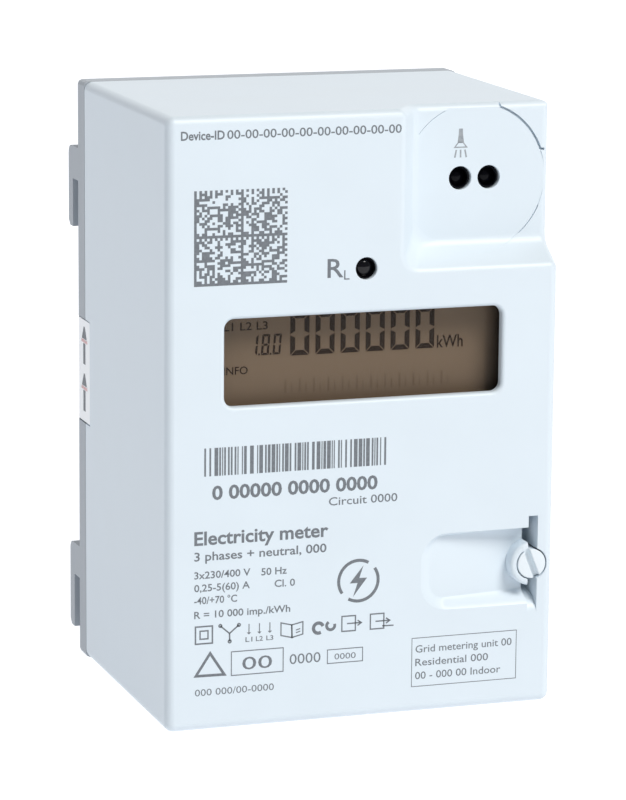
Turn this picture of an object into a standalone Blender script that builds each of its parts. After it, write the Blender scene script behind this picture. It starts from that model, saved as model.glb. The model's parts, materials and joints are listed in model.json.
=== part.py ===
"""Plug-in three-phase smart electric meter, built as separate pieces.

Metres, +Z up. The front face looks along -Y and +X is to the right seen from the front.
The origin is at the bottom centre of the bounding box. Depths are Y values: the front face
is at FRONT, the seam between cover and base is at SEAM and the hooks end at HOOK_BACK.
"""

import math

import bmesh
import bpy
from mathutils import Matrix

for old_object in list(bpy.data.objects):
    bpy.data.objects.remove(old_object, do_unlink=True)

# Overall sizes
WIDTH = 0.090
HEIGHT = 0.135
DEPTH = 0.080
HALF_WIDTH = WIDTH / 2
FRONT = -DEPTH / 2
HOOK_BACK = DEPTH / 2
HOOK_REACH = 0.008
BASE_BACK = HOOK_BACK - HOOK_REACH
BASE_THICKNESS = 0.0067
SEAM = BASE_BACK - BASE_THICKNESS
GAP = 0.0003
OVERLAP = 0.0001
WALL = 0.002
COVER_ROUNDING = 0.002

# Optical port: a stepped-back corner at the top right with a round seat for a reading head
PORT_LEFT = 0.0095
PORT_BOTTOM = 0.1006
PORT_DEPTH = 0.007
PORT_FLOOR = FRONT + PORT_DEPTH
PORT_FILLET = 0.003
SEAT_X = 0.0275
SEAT_Z = 0.1185
SEAT_RADIUS = 0.0161
SEAT_DEPTH = 0.0004
SEAT_FLOOR = PORT_FLOOR + SEAT_DEPTH
EYE_SPACING = 0.0067
EYE_RADIUS = 0.0026
LENS_FLANGE = 0.0029

# Test lamp beside the port
LAMP_X = 0.0001
LAMP_Z = 0.1007
LAMP_RADIUS = 0.0025
LAMP_INSET = 0.0006
LENS_DOME = 0.0012
FLANGE_THICKNESS = 0.0006
EYE_LED_RADIUS = 0.0023
LAMP_LED_RADIUS = 0.0020
LED_FLANGE = 0.0003
LED_FLANGE_THICKNESS = 0.0008
MAGNET_RING_INNER = 0.0080
MAGNET_RING_OUTER = 0.0115
MAGNET_RING_THICKNESS = 0.0012
SPACER_LENGTH = 0.0045
SPACER_INNER = 0.0010
SPACER_OUTER = 0.0023

# Display stack, from the window in the cover back to the display board
VIEW_LEFT = -0.0319
VIEW_RIGHT = 0.0319
VIEW_BOTTOM = 0.0717
VIEW_TOP = 0.0910
VIEW_CORNER = 0.0025
VIEW_CHAMFER = 0.0009
COVER_INSIDE = FRONT + WALL
WINDOW_THICKNESS = 0.0015
FRAME_FRONT = COVER_INSIDE + GAP + WINDOW_THICKNESS + GAP
LCD_FRONT = FRAME_FRONT + 0.0021
LCD_THICKNESS = 0.0022
LCD_HALF_WIDTH = 0.0342
LCD_BOTTOM = 0.0686
LCD_TOP = 0.0934
WINDOW_HALF_WIDTH = 0.0360
WINDOW_BOTTOM = 0.0670
WINDOW_TOP = 0.0945
FRAME_HALF_WIDTH = 0.0375
FRAME_BOTTOM = 0.0655
FRAME_TOP = 0.0965
GUIDE_THICKNESS = 0.0030
GUIDE_LEFT = -0.0310
GUIDE_RIGHT = 0.0335
GUIDE_BOTTOM = 0.0725
GUIDE_TOP = 0.0895
BACKLIGHT_WIDTH = 0.0027
BACKLIGHT_HALF_HEIGHT = 0.0020
STRIP_HALF_WIDTH = 0.0330
STRIP_HEIGHT = 0.0026
DISPLAY_BOARD_FRONT = -0.0257
BOARD_THICKNESS = 0.0016
DISPLAY_BOARD_BACK = DISPLAY_BOARD_FRONT + BOARD_THICKNESS
DISPLAY_BOARD_HALF_WIDTH = 0.0415
DISPLAY_BOARD_BOTTOM = 0.0570
DISPLAY_BOARD_TOP = 0.1320
DISPLAY_POSTS = [(-0.0385, 0.0600), (0.0385, 0.0600), (-0.0385, 0.1290), (0.0385, 0.1290)]

# Main board, carried by posts on the base
MAIN_BOARD_FRONT = 0.0040
MAIN_BOARD_BACK = MAIN_BOARD_FRONT + BOARD_THICKNESS
MAIN_BOARD_LEFT = -0.0410
MAIN_BOARD_RIGHT = 0.0315
MAIN_BOARD_BOTTOM = 0.0060
MAIN_BOARD_TOP = 0.1280
MAIN_POSTS = [(-0.0375, 0.0100), (0.0280, 0.0100), (-0.0375, 0.1240), (0.0280, 0.1240)]
POST_RADIUS = 0.0025
SCREW_SHANK = 0.0010
SCREW_HOLE = SCREW_SHANK + GAP
SCREW_HEAD = 0.0021
SCREW_HEAD_HEIGHT = 0.0018
SCREW_LENGTH = 0.0055

# Electronic parts on the main board, as (left, right, bottom, top) where they are blocks
CONNECTOR = (-0.0200, 0.0200, 0.1040, 0.1090)
CONNECTOR_SPLIT = -0.0080
POWER_TRANSFORMER = (-0.0350, -0.0130, 0.0160, 0.0380)
TRANSFORMER_FRONT = -0.0160
FILTER_CAPACITOR = (-0.0090, 0.0090, 0.0140, 0.0220)
FILTER_FRONT = -0.0100
METERING_CHIP = (-0.0120, -0.0020, 0.0520, 0.0620)
PROCESSOR_CHIP = (0.0080, 0.0200, 0.0440, 0.0560)
CHIP_THICKNESS = 0.0017
CAPACITOR_COLUMNS = [0.0150, 0.0280]
CAPACITOR_Z = 0.0260
CAPACITOR_RADIUS = 0.0050
CAPACITOR_FRONT = -0.0120
VARISTOR_RADIUS = 0.0065
VARISTOR_HALF_THICKNESS = 0.0020
VARISTOR_Z = 0.0890
BATTERY_X = 0.0210
BATTERY_Z = 0.0720
BATTERY_RADIUS = 0.0080
BATTERY_HEIGHT = 0.0045

# Current paths: stamped bars that end in contact blades behind the base
PHASE_COLUMNS = [-0.0280, -0.0090, 0.0100]
NEUTRAL_COLUMN = 0.0270
BAR_THICKNESS = 0.0025
BAR_FRONT = 0.0160
BAR_WIDTH = 0.0060
BLADE_HEIGHT = 0.0100
BLADE_END = HOOK_BACK - 0.0010
LOWER_BLADE_Z = 0.0430
UPPER_BLADE_Z = 0.0970
NEUTRAL_FRONT = 0.0120
RING_OUTER = 0.0085
RING_INNER = 0.0050
RING_BOTTOM = 0.0640
RING_TOP = 0.0760
PIN_RADIUS = 0.0006
LEAD_OFFSET = 0.0030
LEAD_RADIUS = 0.0005
LEAD_RING_Z = 0.0700
LEAD_BOARD_Z = 0.0780

# Base plate
BASE_INSET = 0.0038
BASE_FLOOR = 0.0025
BASE_ROUNDING = 0.0010
LIP_INSET = WALL + GAP
LIP_HEIGHT = 0.0036
HOOK_WIDTH = 0.0060
HOOK_GAP = 0.0043
HOOK_SIDE_INSET = 0.0002
HOOKS = [(0.0048, 0.0176, 0.0251), (0.1003, 0.1115, 0.1190)]
HOOK_ROUNDING = 0.0020
HOOK_CHAMFER = 0.0012

# Quarter-turn lock with its recess and the slot for a seal wire
LOCK_X = 0.0400
LOCK_Z = 0.0321
LOCK_TILT = math.radians(22)
LOCK_HEAD = 0.0033
LOCK_SHAFT = 0.0023
LOCK_CLEARANCE = 0.0003
LOCK_HEAD_LENGTH = 0.0095
LOCK_COLLAR = 0.0050
RECESS_LEFT = 0.0140
RECESS_BOTTOM = 0.0238
RECESS_TOP = 0.0402
RECESS_DEPTH = 0.0040
RECESS_CORNER = 0.0070
SEAL_SLOT_WIDTH = 0.0019
SEAL_SLOT_BOTTOM = 0.0209
SEAL_SLOT_TOP = 0.0431
SEAL_SLOT_DEPTH = 0.0090
TOWER_LEFT = 0.0332
TOWER_HALF_HEIGHT = 0.0065
TOWER_BACK = SEAM - LIP_HEIGHT
WASHER_THICKNESS = 0.0005
TONGUE_THICKNESS = 0.0030
TONGUE_REACH = 0.0120
TONGUE_HALF_WIDTH = 0.0030
TONGUE_HUB = 0.0045
LOCK_EASE = 0.0003
GROOVE_RADIUS = 0.0016
GROOVE_WIDTH = 0.0012
DRIVER_HALF_WIDTH = 0.0007
DRIVER_DEPTH = 0.0016
WIRE_HOLE_RADIUS = 0.0008
WIRE_HOLE_DEPTH = 0.0040
CLIP_INNER = 0.0019
CLIP_OUTER = 0.0040
CLIP_THICKNESS = 0.0006

# Seal sticker across the seam on the left side
STICKER_FRONT = 0.0219
STICKER_BACK = 0.0312
STICKER_BOTTOM = 0.0562
STICKER_TOP = 0.0800
STICKER_THICKNESS = 0.0002
POCKET_DEPTH = 0.0006

# Finishes: colour, roughness, metallic
SHELL = ((0.80, 0.86, 0.90), 0.45, 0.0)
BASE_GREY = ((0.52, 0.55, 0.58), 0.50, 0.0)
CLEAR = ((0.82, 0.84, 0.85), 0.05, 0.0)
LCD_BROWN = ((0.16, 0.12, 0.085), 0.15, 0.0)
MILKY = ((0.75, 0.75, 0.72), 0.40, 0.0)
DARK_PLASTIC = ((0.03, 0.03, 0.035), 0.45, 0.0)
BLACK_LENS = ((0.005, 0.005, 0.006), 0.05, 0.0)
BOARD_GREEN = ((0.02, 0.16, 0.07), 0.40, 0.0)
STEEL = ((0.55, 0.56, 0.57), 0.35, 1.0)
COPPER = ((0.72, 0.43, 0.30), 0.30, 1.0)
CORE_BLUE = ((0.05, 0.12, 0.35), 0.40, 0.0)
RED_LED = ((0.45, 0.02, 0.02), 0.15, 0.0)
WHITE_PAPER = ((0.85, 0.86, 0.87), 0.55, 0.0)
YELLOW_TAPE = ((0.75, 0.60, 0.08), 0.40, 0.0)
RUBBER_GREY = ((0.20, 0.20, 0.21), 0.70, 0.0)


def paint(piece, finish):
    """Give the piece its own Principled material."""
    colour, roughness, metallic = finish
    material = bpy.data.materials.new(piece.name)
    material.use_nodes = True
    shader = material.node_tree.nodes["Principled BSDF"]
    shader.inputs["Base Color"].default_value = (*colour, 1)
    shader.inputs["Roughness"].default_value = roughness
    shader.inputs["Metallic"].default_value = metallic
    piece.data.materials.append(material)


def add_piece(name, shape, finish):
    """Turn a bmesh into a named object; without a finish it is a cutter."""
    bmesh.ops.recalc_face_normals(shape, faces=shape.faces)
    mesh = bpy.data.meshes.new(name)
    shape.to_mesh(mesh)
    shape.free()
    piece = bpy.data.objects.new(name, mesh)
    bpy.context.scene.collection.objects.link(piece)
    if finish:
        paint(piece, finish)
    else:
        piece.hide_render = True
        piece.display_type = "WIRE"
    return piece


def smooth(piece):
    """Shade a round piece smooth but keep its sharp edges."""
    piece.data.shade_smooth()
    piece.data.set_sharp_from_angle(angle=math.radians(35))
    return piece


def loft(name, rings, finish=None):
    """Close a solid through rings of points that all have the same count."""
    shape = bmesh.new()
    loops = [[shape.verts.new(point) for point in ring] for ring in rings]
    count = len(loops[0])
    for near, far in zip(loops, loops[1:]):
        for index in range(count):
            following = (index + 1) % count
            shape.faces.new((near[index], near[following], far[following], far[index]))
    shape.faces.new(loops[0])
    shape.faces.new(loops[-1])
    return add_piece(name, shape, finish)


def prism_y(name, outline, low, high, finish=None):
    """Extrude an outline of (x, z) points along Y."""
    return loft(name, [[(x, y, z) for x, z in outline] for y in (low, high)], finish)


def prism_x(name, outline, low, high, finish=None):
    """Extrude an outline of (y, z) points along X."""
    return loft(name, [[(x, y, z) for y, z in outline] for x in (low, high)], finish)


def rectangle(left, right, bottom, top):
    """Outline of a plain rectangle."""
    return [(left, bottom), (right, bottom), (right, top), (left, top)]


def block(name, left, right, front, back, bottom, top, finish=None):
    """Rectangular solid."""
    return prism_y(name, rectangle(left, right, bottom, top), front, back, finish)


def arc(centre_x, centre_z, radius, start, end, steps):
    """Points on an arc, with angles in degrees counted from +X."""
    points = []
    for step in range(steps + 1):
        angle = math.radians(start + (end - start) * step / steps)
        points.append((centre_x + radius * math.cos(angle), centre_z + radius * math.sin(angle)))
    return points


def rounded_rectangle(left, right, bottom, top, radius, steps=4):
    """Outline of a rectangle with round corners."""
    outline = arc(right - radius, top - radius, radius, 0, 90, steps)
    outline += arc(left + radius, top - radius, radius, 90, 180, steps)
    outline += arc(left + radius, bottom + radius, radius, 180, 270, steps)
    outline += arc(right - radius, bottom + radius, radius, 270, 360, steps)
    return outline


def turned(name, profile, x, z, finish=None, sides=24, ring=False):
    """Spin a profile of (radius, y) points about the Y line through x and z."""
    shape = bmesh.new()
    verts = [shape.verts.new((x + radius, y, z)) for radius, y in profile]
    edges = [shape.edges.new(pair) for pair in zip(verts, verts[1:])]
    if ring:
        edges.append(shape.edges.new((verts[-1], verts[0])))
    bmesh.ops.spin(
        shape,
        geom=verts + edges,
        cent=(x, 0, z),
        axis=(0, 1, 0),
        angle=math.tau,
        steps=sides,
        use_merge=True,
    )
    bmesh.ops.remove_doubles(shape, verts=shape.verts, dist=1e-6)
    return smooth(add_piece(name, shape, finish))


def cylinder(name, x, z, radius, front, back, finish=None, sides=24):
    """Round solid along Y."""
    profile = [(0, front), (radius, front), (radius, back), (0, back)]
    return turned(name, profile, x, z, finish, sides)


def tube(name, x, z, inner, outer, front, back, finish=None, sides=24):
    """Round solid along Y with a hole through it."""
    profile = [(inner, front), (outer, front), (outer, back), (inner, back)]
    return turned(name, profile, x, z, finish, sides, ring=True)


def stand_up(piece, centre):
    """Turn a piece made along Y so that it stands along Z at its centre."""
    turn = Matrix.Translation(centre) @ Matrix.Rotation(math.radians(90), 4, "X")
    piece.data.transform(turn)
    return piece


def boolean(piece, tool, operation):
    """Cut a tool from a piece, or join it on."""
    modifier = piece.modifiers.new(tool.name, "BOOLEAN")
    modifier.operation = operation
    modifier.solver = "EXACT"
    modifier.object = tool


def cut(piece, *tools):
    """Take each tool away from the piece."""
    for tool in tools:
        boolean(piece, tool, "DIFFERENCE")
    return piece


def join(piece, *tools):
    """Add each tool to the piece."""
    for tool in tools:
        boolean(piece, tool, "UNION")
    return piece


def round_edges(piece, radius, chosen, segments=3):
    """Round the edges whose two ends both satisfy the test."""
    shape = bmesh.new()
    shape.from_mesh(piece.data)
    edges = [edge for edge in shape.edges if chosen(edge.verts[0].co, edge.verts[1].co)]
    bmesh.ops.bevel(shape, geom=edges, offset=radius, segments=segments, profile=0.5, affect="EDGES")
    shape.to_mesh(piece.data)
    shape.free()
    return smooth(piece)


def near(value, target):
    """Whether two lengths are the same to a hundredth of a millimetre."""
    return abs(value - target) < 1e-5


def screw(name, x, z, head_front, direction, finish=STEEL):
    """Pan-head screw along Y; direction is the way its shank points."""
    head_back = head_front + direction * SCREW_HEAD_HEIGHT
    tip = head_back + direction * SCREW_LENGTH
    profile = [
        (0, head_front),
        (SCREW_HEAD * 0.75, head_front),
        (SCREW_HEAD, head_front + direction * 0.0006),
        (SCREW_HEAD, head_back),
        (SCREW_SHANK, head_back),
        (SCREW_SHANK, tip),
        (0, tip),
    ]
    return turned(name, profile, x, z, finish, sides=12)


def cavity_outline(inset, notch_port, lock_left, lock_half_height):
    """Inside outline of the cover, stepping round the port and the lock."""
    left = -HALF_WIDTH + inset
    right = HALF_WIDTH - inset
    bottom = inset
    top = HEIGHT - inset
    outline = [(left, bottom), (right, bottom)]
    if lock_left is not None:
        outline.append((right, LOCK_Z - lock_half_height))
        outline.append((lock_left, LOCK_Z - lock_half_height))
        outline.append((lock_left, LOCK_Z + lock_half_height))
        outline.append((right, LOCK_Z + lock_half_height))
    if notch_port:
        outline.append((right, PORT_BOTTOM - WALL))
        outline.append((PORT_LEFT - WALL, PORT_BOTTOM - WALL))
        outline.append((PORT_LEFT - WALL, top))
    else:
        outline.append((right, top))
    outline.append((left, top))
    return outline


def hollow_cover(cover):
    """Hollow the cover in four steps, each a little wider than the one in front of it."""
    lock_zone = RECESS_LEFT - WALL
    lock_zone_half = (SEAL_SLOT_TOP - SEAL_SLOT_BOTTOM) / 2 + WALL
    port_inside = PORT_FLOOR + WALL
    lock_inside = FRONT + SEAL_SLOT_DEPTH + WALL
    draft = 0.0001
    steps = [
        (WALL + 3 * draft, True, lock_zone, lock_zone_half, COVER_INSIDE, port_inside),
        (WALL + 2 * draft, False, lock_zone, lock_zone_half, port_inside, lock_inside),
        (WALL + draft, False, TOWER_LEFT, TOWER_HALF_HEIGHT, lock_inside, TOWER_BACK),
        (WALL, False, None, 0, TOWER_BACK, SEAM + 0.001),
    ]
    for number, (inset, port, left, half_height, front, back) in enumerate(steps):
        outline = cavity_outline(inset, port, left, half_height)
        start = front - (OVERLAP if number else 0)
        cut(cover, prism_y(f"cutter_cavity_{number}", outline, start, back))


def cut_port(cover):
    """Cut the stepped-back port, its round seat and the two eye holes."""
    beyond = 0.005
    port = block(
        "cutter_port",
        PORT_LEFT,
        HALF_WIDTH + beyond,
        FRONT - beyond,
        PORT_FLOOR,
        PORT_BOTTOM,
        HEIGHT + beyond,
    )

    def inner_edge(one, other):
        on_left = near(one.x, PORT_LEFT) and near(other.x, PORT_LEFT)
        on_bottom = near(one.z, PORT_BOTTOM) and near(other.z, PORT_BOTTOM)
        on_floor = near(one.y, PORT_FLOOR) and near(other.y, PORT_FLOOR)
        return on_left + on_bottom + on_floor >= 2

    round_edges(port, PORT_FILLET, inner_edge)
    cut(cover, port)
    seat = cylinder("cutter_seat", SEAT_X, SEAT_Z, SEAT_RADIUS, PORT_FLOOR - 0.001, SEAT_FLOOR, sides=48)
    cut(cover, seat)
    for side in (-1, 1):
        x = SEAT_X + side * EYE_SPACING / 2
        eye = cylinder(f"cutter_eye_{side}", x, SEAT_Z, EYE_RADIUS, PORT_FLOOR - 0.002, PORT_FLOOR + 0.006)
        cut(cover, eye)


def cut_display(cover):
    """Cut the display opening with its chamfered border, and the test lamp hole."""
    outer = rounded_rectangle(VIEW_LEFT - VIEW_CHAMFER, VIEW_RIGHT + VIEW_CHAMFER,
                              VIEW_BOTTOM - VIEW_CHAMFER, VIEW_TOP + VIEW_CHAMFER,
                              VIEW_CORNER + VIEW_CHAMFER)
    inner = rounded_rectangle(VIEW_LEFT, VIEW_RIGHT, VIEW_BOTTOM, VIEW_TOP, VIEW_CORNER)
    levels = [
        (outer, FRONT - 0.001),
        (outer, FRONT),
        (inner, FRONT + VIEW_CHAMFER),
        (inner, COVER_INSIDE + 0.002),
    ]
    rings = [[(x, y, z) for x, z in outline] for outline, y in levels]
    cut(cover, loft("cutter_display", rings))
    cut(cover, cylinder("cutter_lamp", LAMP_X, LAMP_Z, LAMP_RADIUS, FRONT - 0.001, COVER_INSIDE + 0.002))


def lock_recess():
    """Shallow recess whose floor ramps down towards the lock, leaving a collar round the lock."""
    right = LOCK_X - SEAL_SLOT_WIDTH / 2
    run = right - RECESS_LEFT
    outline = [(right, RECESS_BOTTOM), (right, RECESS_TOP)]
    outline += arc(RECESS_LEFT + RECESS_CORNER, RECESS_TOP - RECESS_CORNER, RECESS_CORNER, 90, 180, 5)
    outline += arc(RECESS_LEFT + RECESS_CORNER, RECESS_BOTTOM + RECESS_CORNER, RECESS_CORNER, 180, 270, 5)
    front_ring = [(x, FRONT - 0.001, z) for x, z in outline]
    floor_ring = [(x, FRONT + RECESS_DEPTH * (x - RECESS_LEFT) / run, z) for x, z in outline]
    recess = loft("cutter_recess", [front_ring, floor_ring])
    collar = cylinder("cutter_collar", LOCK_X, LOCK_Z, LOCK_COLLAR, FRONT - 0.002, FRONT + 0.008, sides=32)
    return cut(recess, collar)


def cut_lock(cover):
    """Cut the lock recess, the seal slot and the stepped bore for the lock spindle."""
    slot_left = LOCK_X - SEAL_SLOT_WIDTH / 2
    slot_right = LOCK_X + SEAL_SLOT_WIDTH / 2
    slot_back = FRONT + SEAL_SLOT_DEPTH
    slot = block("cutter_slot", slot_left - OVERLAP, slot_right, FRONT - 0.002, slot_back,
                 SEAL_SLOT_BOTTOM, SEAL_SLOT_TOP)
    shoulder = FRONT + LOCK_HEAD_LENGTH + 2 * GAP + WASHER_THICKNESS
    profile = [
        (0, FRONT - 0.003),
        (LOCK_HEAD + LOCK_CLEARANCE, FRONT - 0.003),
        (LOCK_HEAD + LOCK_CLEARANCE, shoulder),
        (LOCK_SHAFT + LOCK_CLEARANCE, shoulder),
        (LOCK_SHAFT + LOCK_CLEARANCE, SEAM),
        (0, SEAM),
    ]
    bore = turned("cutter_bore", profile, LOCK_X, LOCK_Z, sides=32)
    cut(cover, lock_recess(), slot, bore)


def sticker_pocket():
    """Shallow pocket across the seam that the seal sticker lies in."""
    return block(
        "cutter_sticker",
        -HALF_WIDTH - 0.002,
        -HALF_WIDTH + POCKET_DEPTH,
        STICKER_FRONT - GAP,
        STICKER_BACK + GAP,
        STICKER_BOTTOM - GAP,
        STICKER_TOP + GAP,
    )


def make_cover(pocket):
    """Front cover: a deep shell, open at the back."""
    cover = block("front_cover", -HALF_WIDTH, HALF_WIDTH, FRONT, SEAM, 0, HEIGHT, SHELL)
    round_edges(cover, COVER_ROUNDING, lambda a, b: not (near(a.y, SEAM) and near(b.y, SEAM)))
    hollow_cover(cover)
    for number, (x, z) in enumerate(DISPLAY_POSTS):
        at_port = x > PORT_LEFT and z > PORT_BOTTOM
        root = (PORT_FLOOR if at_port else FRONT) + WALL / 2
        post = cylinder(f"cutter_cover_post_{number}", x, z, POST_RADIUS, root,
                        DISPLAY_BOARD_FRONT - GAP, sides=16)
        join(cover, post)
        hole = cylinder(f"cutter_cover_hole_{number}", x, z, SCREW_HOLE, root + WALL,
                        DISPLAY_BOARD_FRONT, sides=12)
        cut(cover, hole)
    cut_port(cover)
    cut_display(cover)
    cut_lock(cover)
    cut(cover, pocket)
    return cover


def hook_outline(bottom, gap_top, top):
    """Side view of one hook: it stands off the base and is open downwards."""
    root = BASE_BACK - 0.0008
    tongue_front = BASE_BACK + HOOK_GAP
    outline = [(root, gap_top), (tongue_front, gap_top), (tongue_front, bottom)]
    outline += [(HOOK_BACK - HOOK_CHAMFER, bottom), (HOOK_BACK, bottom + HOOK_CHAMFER)]
    corner = arc(HOOK_BACK - HOOK_ROUNDING, top - HOOK_ROUNDING, HOOK_ROUNDING, 0, 90, 4)
    return outline + corner + [(root, top)]


def make_base(pocket):
    """Base plate: a shallow tray with a locating lip, board posts and four hooks."""
    seam_face = SEAM + GAP
    base = block("base_plate", -HALF_WIDTH, HALF_WIDTH, seam_face, BASE_BACK, 0, HEIGHT, BASE_GREY)
    round_edges(base, BASE_ROUNDING, lambda a, b: not (near(a.y, seam_face) and near(b.y, seam_face)), 2)
    lip_front = TOWER_BACK + GAP
    lip = block("cutter_lip", -HALF_WIDTH + LIP_INSET, HALF_WIDTH - LIP_INSET, lip_front,
                seam_face + 0.001, LIP_INSET, HEIGHT - LIP_INSET)
    join(base, lip)
    tray = block("cutter_tray", -HALF_WIDTH + BASE_INSET, HALF_WIDTH - BASE_INSET, lip_front - 0.001,
                 BASE_BACK - BASE_FLOOR, BASE_INSET, HEIGHT - BASE_INSET)
    cut(base, tray)
    for number, (x, z) in enumerate(MAIN_POSTS):
        post = cylinder(f"cutter_base_post_{number}", x, z, POST_RADIUS, MAIN_BOARD_BACK + GAP,
                        BASE_BACK - BASE_FLOOR / 2, sides=16)
        hole = cylinder(f"cutter_base_hole_{number}", x, z, SCREW_HOLE, MAIN_BOARD_BACK,
                        MAIN_BOARD_BACK + SCREW_LENGTH, sides=12)
        join(base, post)
        cut(base, hole)
    for number, heights in enumerate(HOOKS):
        for side in (-1, 1):
            inner = side * (HALF_WIDTH - HOOK_SIDE_INSET - HOOK_WIDTH)
            outer = side * (HALF_WIDTH - HOOK_SIDE_INSET)
            low, high = sorted((inner, outer))
            join(base, prism_x(f"cutter_hook_{number}_{side}", hook_outline(*heights), low, high))
    blades = [(x, z) for x in PHASE_COLUMNS for z in (LOWER_BLADE_Z, UPPER_BLADE_Z)]
    blades.append((NEUTRAL_COLUMN, UPPER_BLADE_Z))
    for number, (x, z) in enumerate(blades):
        half_width = BAR_THICKNESS / 2 + GAP
        half_height = BLADE_HEIGHT / 2 + GAP
        slot = block(f"cutter_blade_slot_{number}", x - half_width, x + half_width,
                     BASE_BACK - BASE_FLOOR - 0.001, BASE_BACK + 0.001, z - half_height, z + half_height)
        cut(base, slot)
    shaft_hole = cylinder("cutter_shaft_hole", LOCK_X, LOCK_Z, LOCK_SHAFT + LOCK_CLEARANCE,
                          lip_front - 0.002, BASE_BACK + 0.001)
    cut(base, shaft_hole, pocket)
    return base


def make_display():
    """Window, LCD with its light guide and contact strips, and the frame that holds them."""
    window_front = COVER_INSIDE + GAP
    block("display_window", -WINDOW_HALF_WIDTH, WINDOW_HALF_WIDTH, window_front,
          window_front + WINDOW_THICKNESS, WINDOW_BOTTOM, WINDOW_TOP, CLEAR)
    frame = block("lcd_frame", -FRAME_HALF_WIDTH, FRAME_HALF_WIDTH, FRAME_FRONT,
                  DISPLAY_BOARD_FRONT - GAP, FRAME_BOTTOM, FRAME_TOP, DARK_PLASTIC)
    opening = block("cutter_frame", -LCD_HALF_WIDTH - GAP, LCD_HALF_WIDTH + GAP, FRAME_FRONT - 0.001,
                    DISPLAY_BOARD_FRONT + 0.001, LCD_BOTTOM - GAP, LCD_TOP + GAP)
    cut(frame, opening)
    lcd_back = LCD_FRONT + LCD_THICKNESS
    block("lcd_glass", -LCD_HALF_WIDTH, LCD_HALF_WIDTH, LCD_FRONT, lcd_back,
          LCD_BOTTOM, LCD_TOP, LCD_BROWN)
    guide_front = lcd_back + GAP
    block("light_guide", GUIDE_LEFT, GUIDE_RIGHT, guide_front, guide_front + GUIDE_THICKNESS,
          GUIDE_BOTTOM, GUIDE_TOP, MILKY)
    back = DISPLAY_BOARD_FRONT - GAP
    led_right = GUIDE_LEFT - GAP
    led_z = (GUIDE_BOTTOM + GUIDE_TOP) / 2
    block("backlight_led", led_right - BACKLIGHT_WIDTH, led_right, guide_front, back,
          led_z - BACKLIGHT_HALF_HEIGHT, led_z + BACKLIGHT_HALF_HEIGHT, WHITE_PAPER)
    strips = {"upper": GUIDE_TOP + GAP, "lower": GUIDE_BOTTOM - GAP - STRIP_HEIGHT}
    for place, bottom in strips.items():
        block(f"contact_strip_{place}", -STRIP_HALF_WIDTH, STRIP_HALF_WIDTH, guide_front, back,
              bottom, bottom + STRIP_HEIGHT, RUBBER_GREY)


def make_display_board():
    """Board behind the display, held to posts in the cover by four screws."""
    board = block("display_board", -DISPLAY_BOARD_HALF_WIDTH, DISPLAY_BOARD_HALF_WIDTH,
                  DISPLAY_BOARD_FRONT, DISPLAY_BOARD_BACK, DISPLAY_BOARD_BOTTOM,
                  DISPLAY_BOARD_TOP, BOARD_GREEN)
    for number, (x, z) in enumerate(DISPLAY_POSTS, start=1):
        hole = cylinder(f"cutter_display_hole_{number}", x, z, SCREW_HOLE, DISPLAY_BOARD_FRONT - 0.001,
                        DISPLAY_BOARD_BACK + 0.001, sides=12)
        cut(board, hole)
        head_back = DISPLAY_BOARD_BACK + GAP + SCREW_HEAD_HEIGHT
        screw(f"display_screw_{number}", x, z, head_back, -1)


def lens(name, x, z, radius, front, wall_back):
    """Domed black lens with a flange behind the wall it looks through."""
    shank = radius - GAP
    flange_front = wall_back + GAP
    flange_back = flange_front + FLANGE_THICKNESS
    profile = [
        (0, front),
        (shank * 0.55, front + LENS_DOME / 8),
        (shank * 0.9, front + LENS_DOME / 2),
        (shank, front + LENS_DOME),
        (shank, flange_front),
        (LENS_FLANGE, flange_front),
        (LENS_FLANGE, flange_back),
        (0, flange_back),
    ]
    turned(name, profile, x, z, BLACK_LENS, sides=24)
    return flange_back


def led(name, x, z, radius, front, back, finish):
    """Round LED with a domed front and a flange at its board end."""
    profile = [
        (0, front),
        (radius * 0.6, front + radius * 0.25),
        (radius * 0.92, front + radius * 0.7),
        (radius, front + radius),
        (radius, back - LED_FLANGE_THICKNESS),
        (radius + LED_FLANGE, back - LED_FLANGE_THICKNESS),
        (radius + LED_FLANGE, back),
        (0, back),
    ]
    turned(name, profile, x, z, finish, sides=16)


def make_optics():
    """Infrared pair behind the port, its steel ring for a magnetic head, and the test lamp."""
    board = DISPLAY_BOARD_FRONT - GAP
    eyes = {"left": ("ir_transmitter", -1), "right": ("ir_receiver", 1)}
    for place, (emitter, side) in eyes.items():
        x = SEAT_X + side * EYE_SPACING / 2
        lens_back = lens(f"optical_lens_{place}", x, SEAT_Z, EYE_RADIUS, SEAT_FLOOR + GAP,
                         PORT_FLOOR + WALL)
        led(emitter, x, SEAT_Z, EYE_LED_RADIUS, lens_back + GAP, board, DARK_PLASTIC)
    ring_front = PORT_FLOOR + WALL + GAP
    tube("magnet_ring", SEAT_X, SEAT_Z, MAGNET_RING_INNER, MAGNET_RING_OUTER, ring_front,
         ring_front + MAGNET_RING_THICKNESS, STEEL, 32)
    lamp_front = FRONT + LAMP_INSET
    lamp_back = lens("test_lamp_lens", LAMP_X, LAMP_Z, LAMP_RADIUS, lamp_front, COVER_INSIDE)
    spacer_front = board - SPACER_LENGTH
    led("test_lamp", LAMP_X, LAMP_Z, LAMP_LED_RADIUS, lamp_back + GAP, spacer_front - GAP, RED_LED)
    tube("test_lamp_spacer", LAMP_X, LAMP_Z, SPACER_INNER, SPACER_OUTER, spacer_front, board, MILKY, 16)


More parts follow.
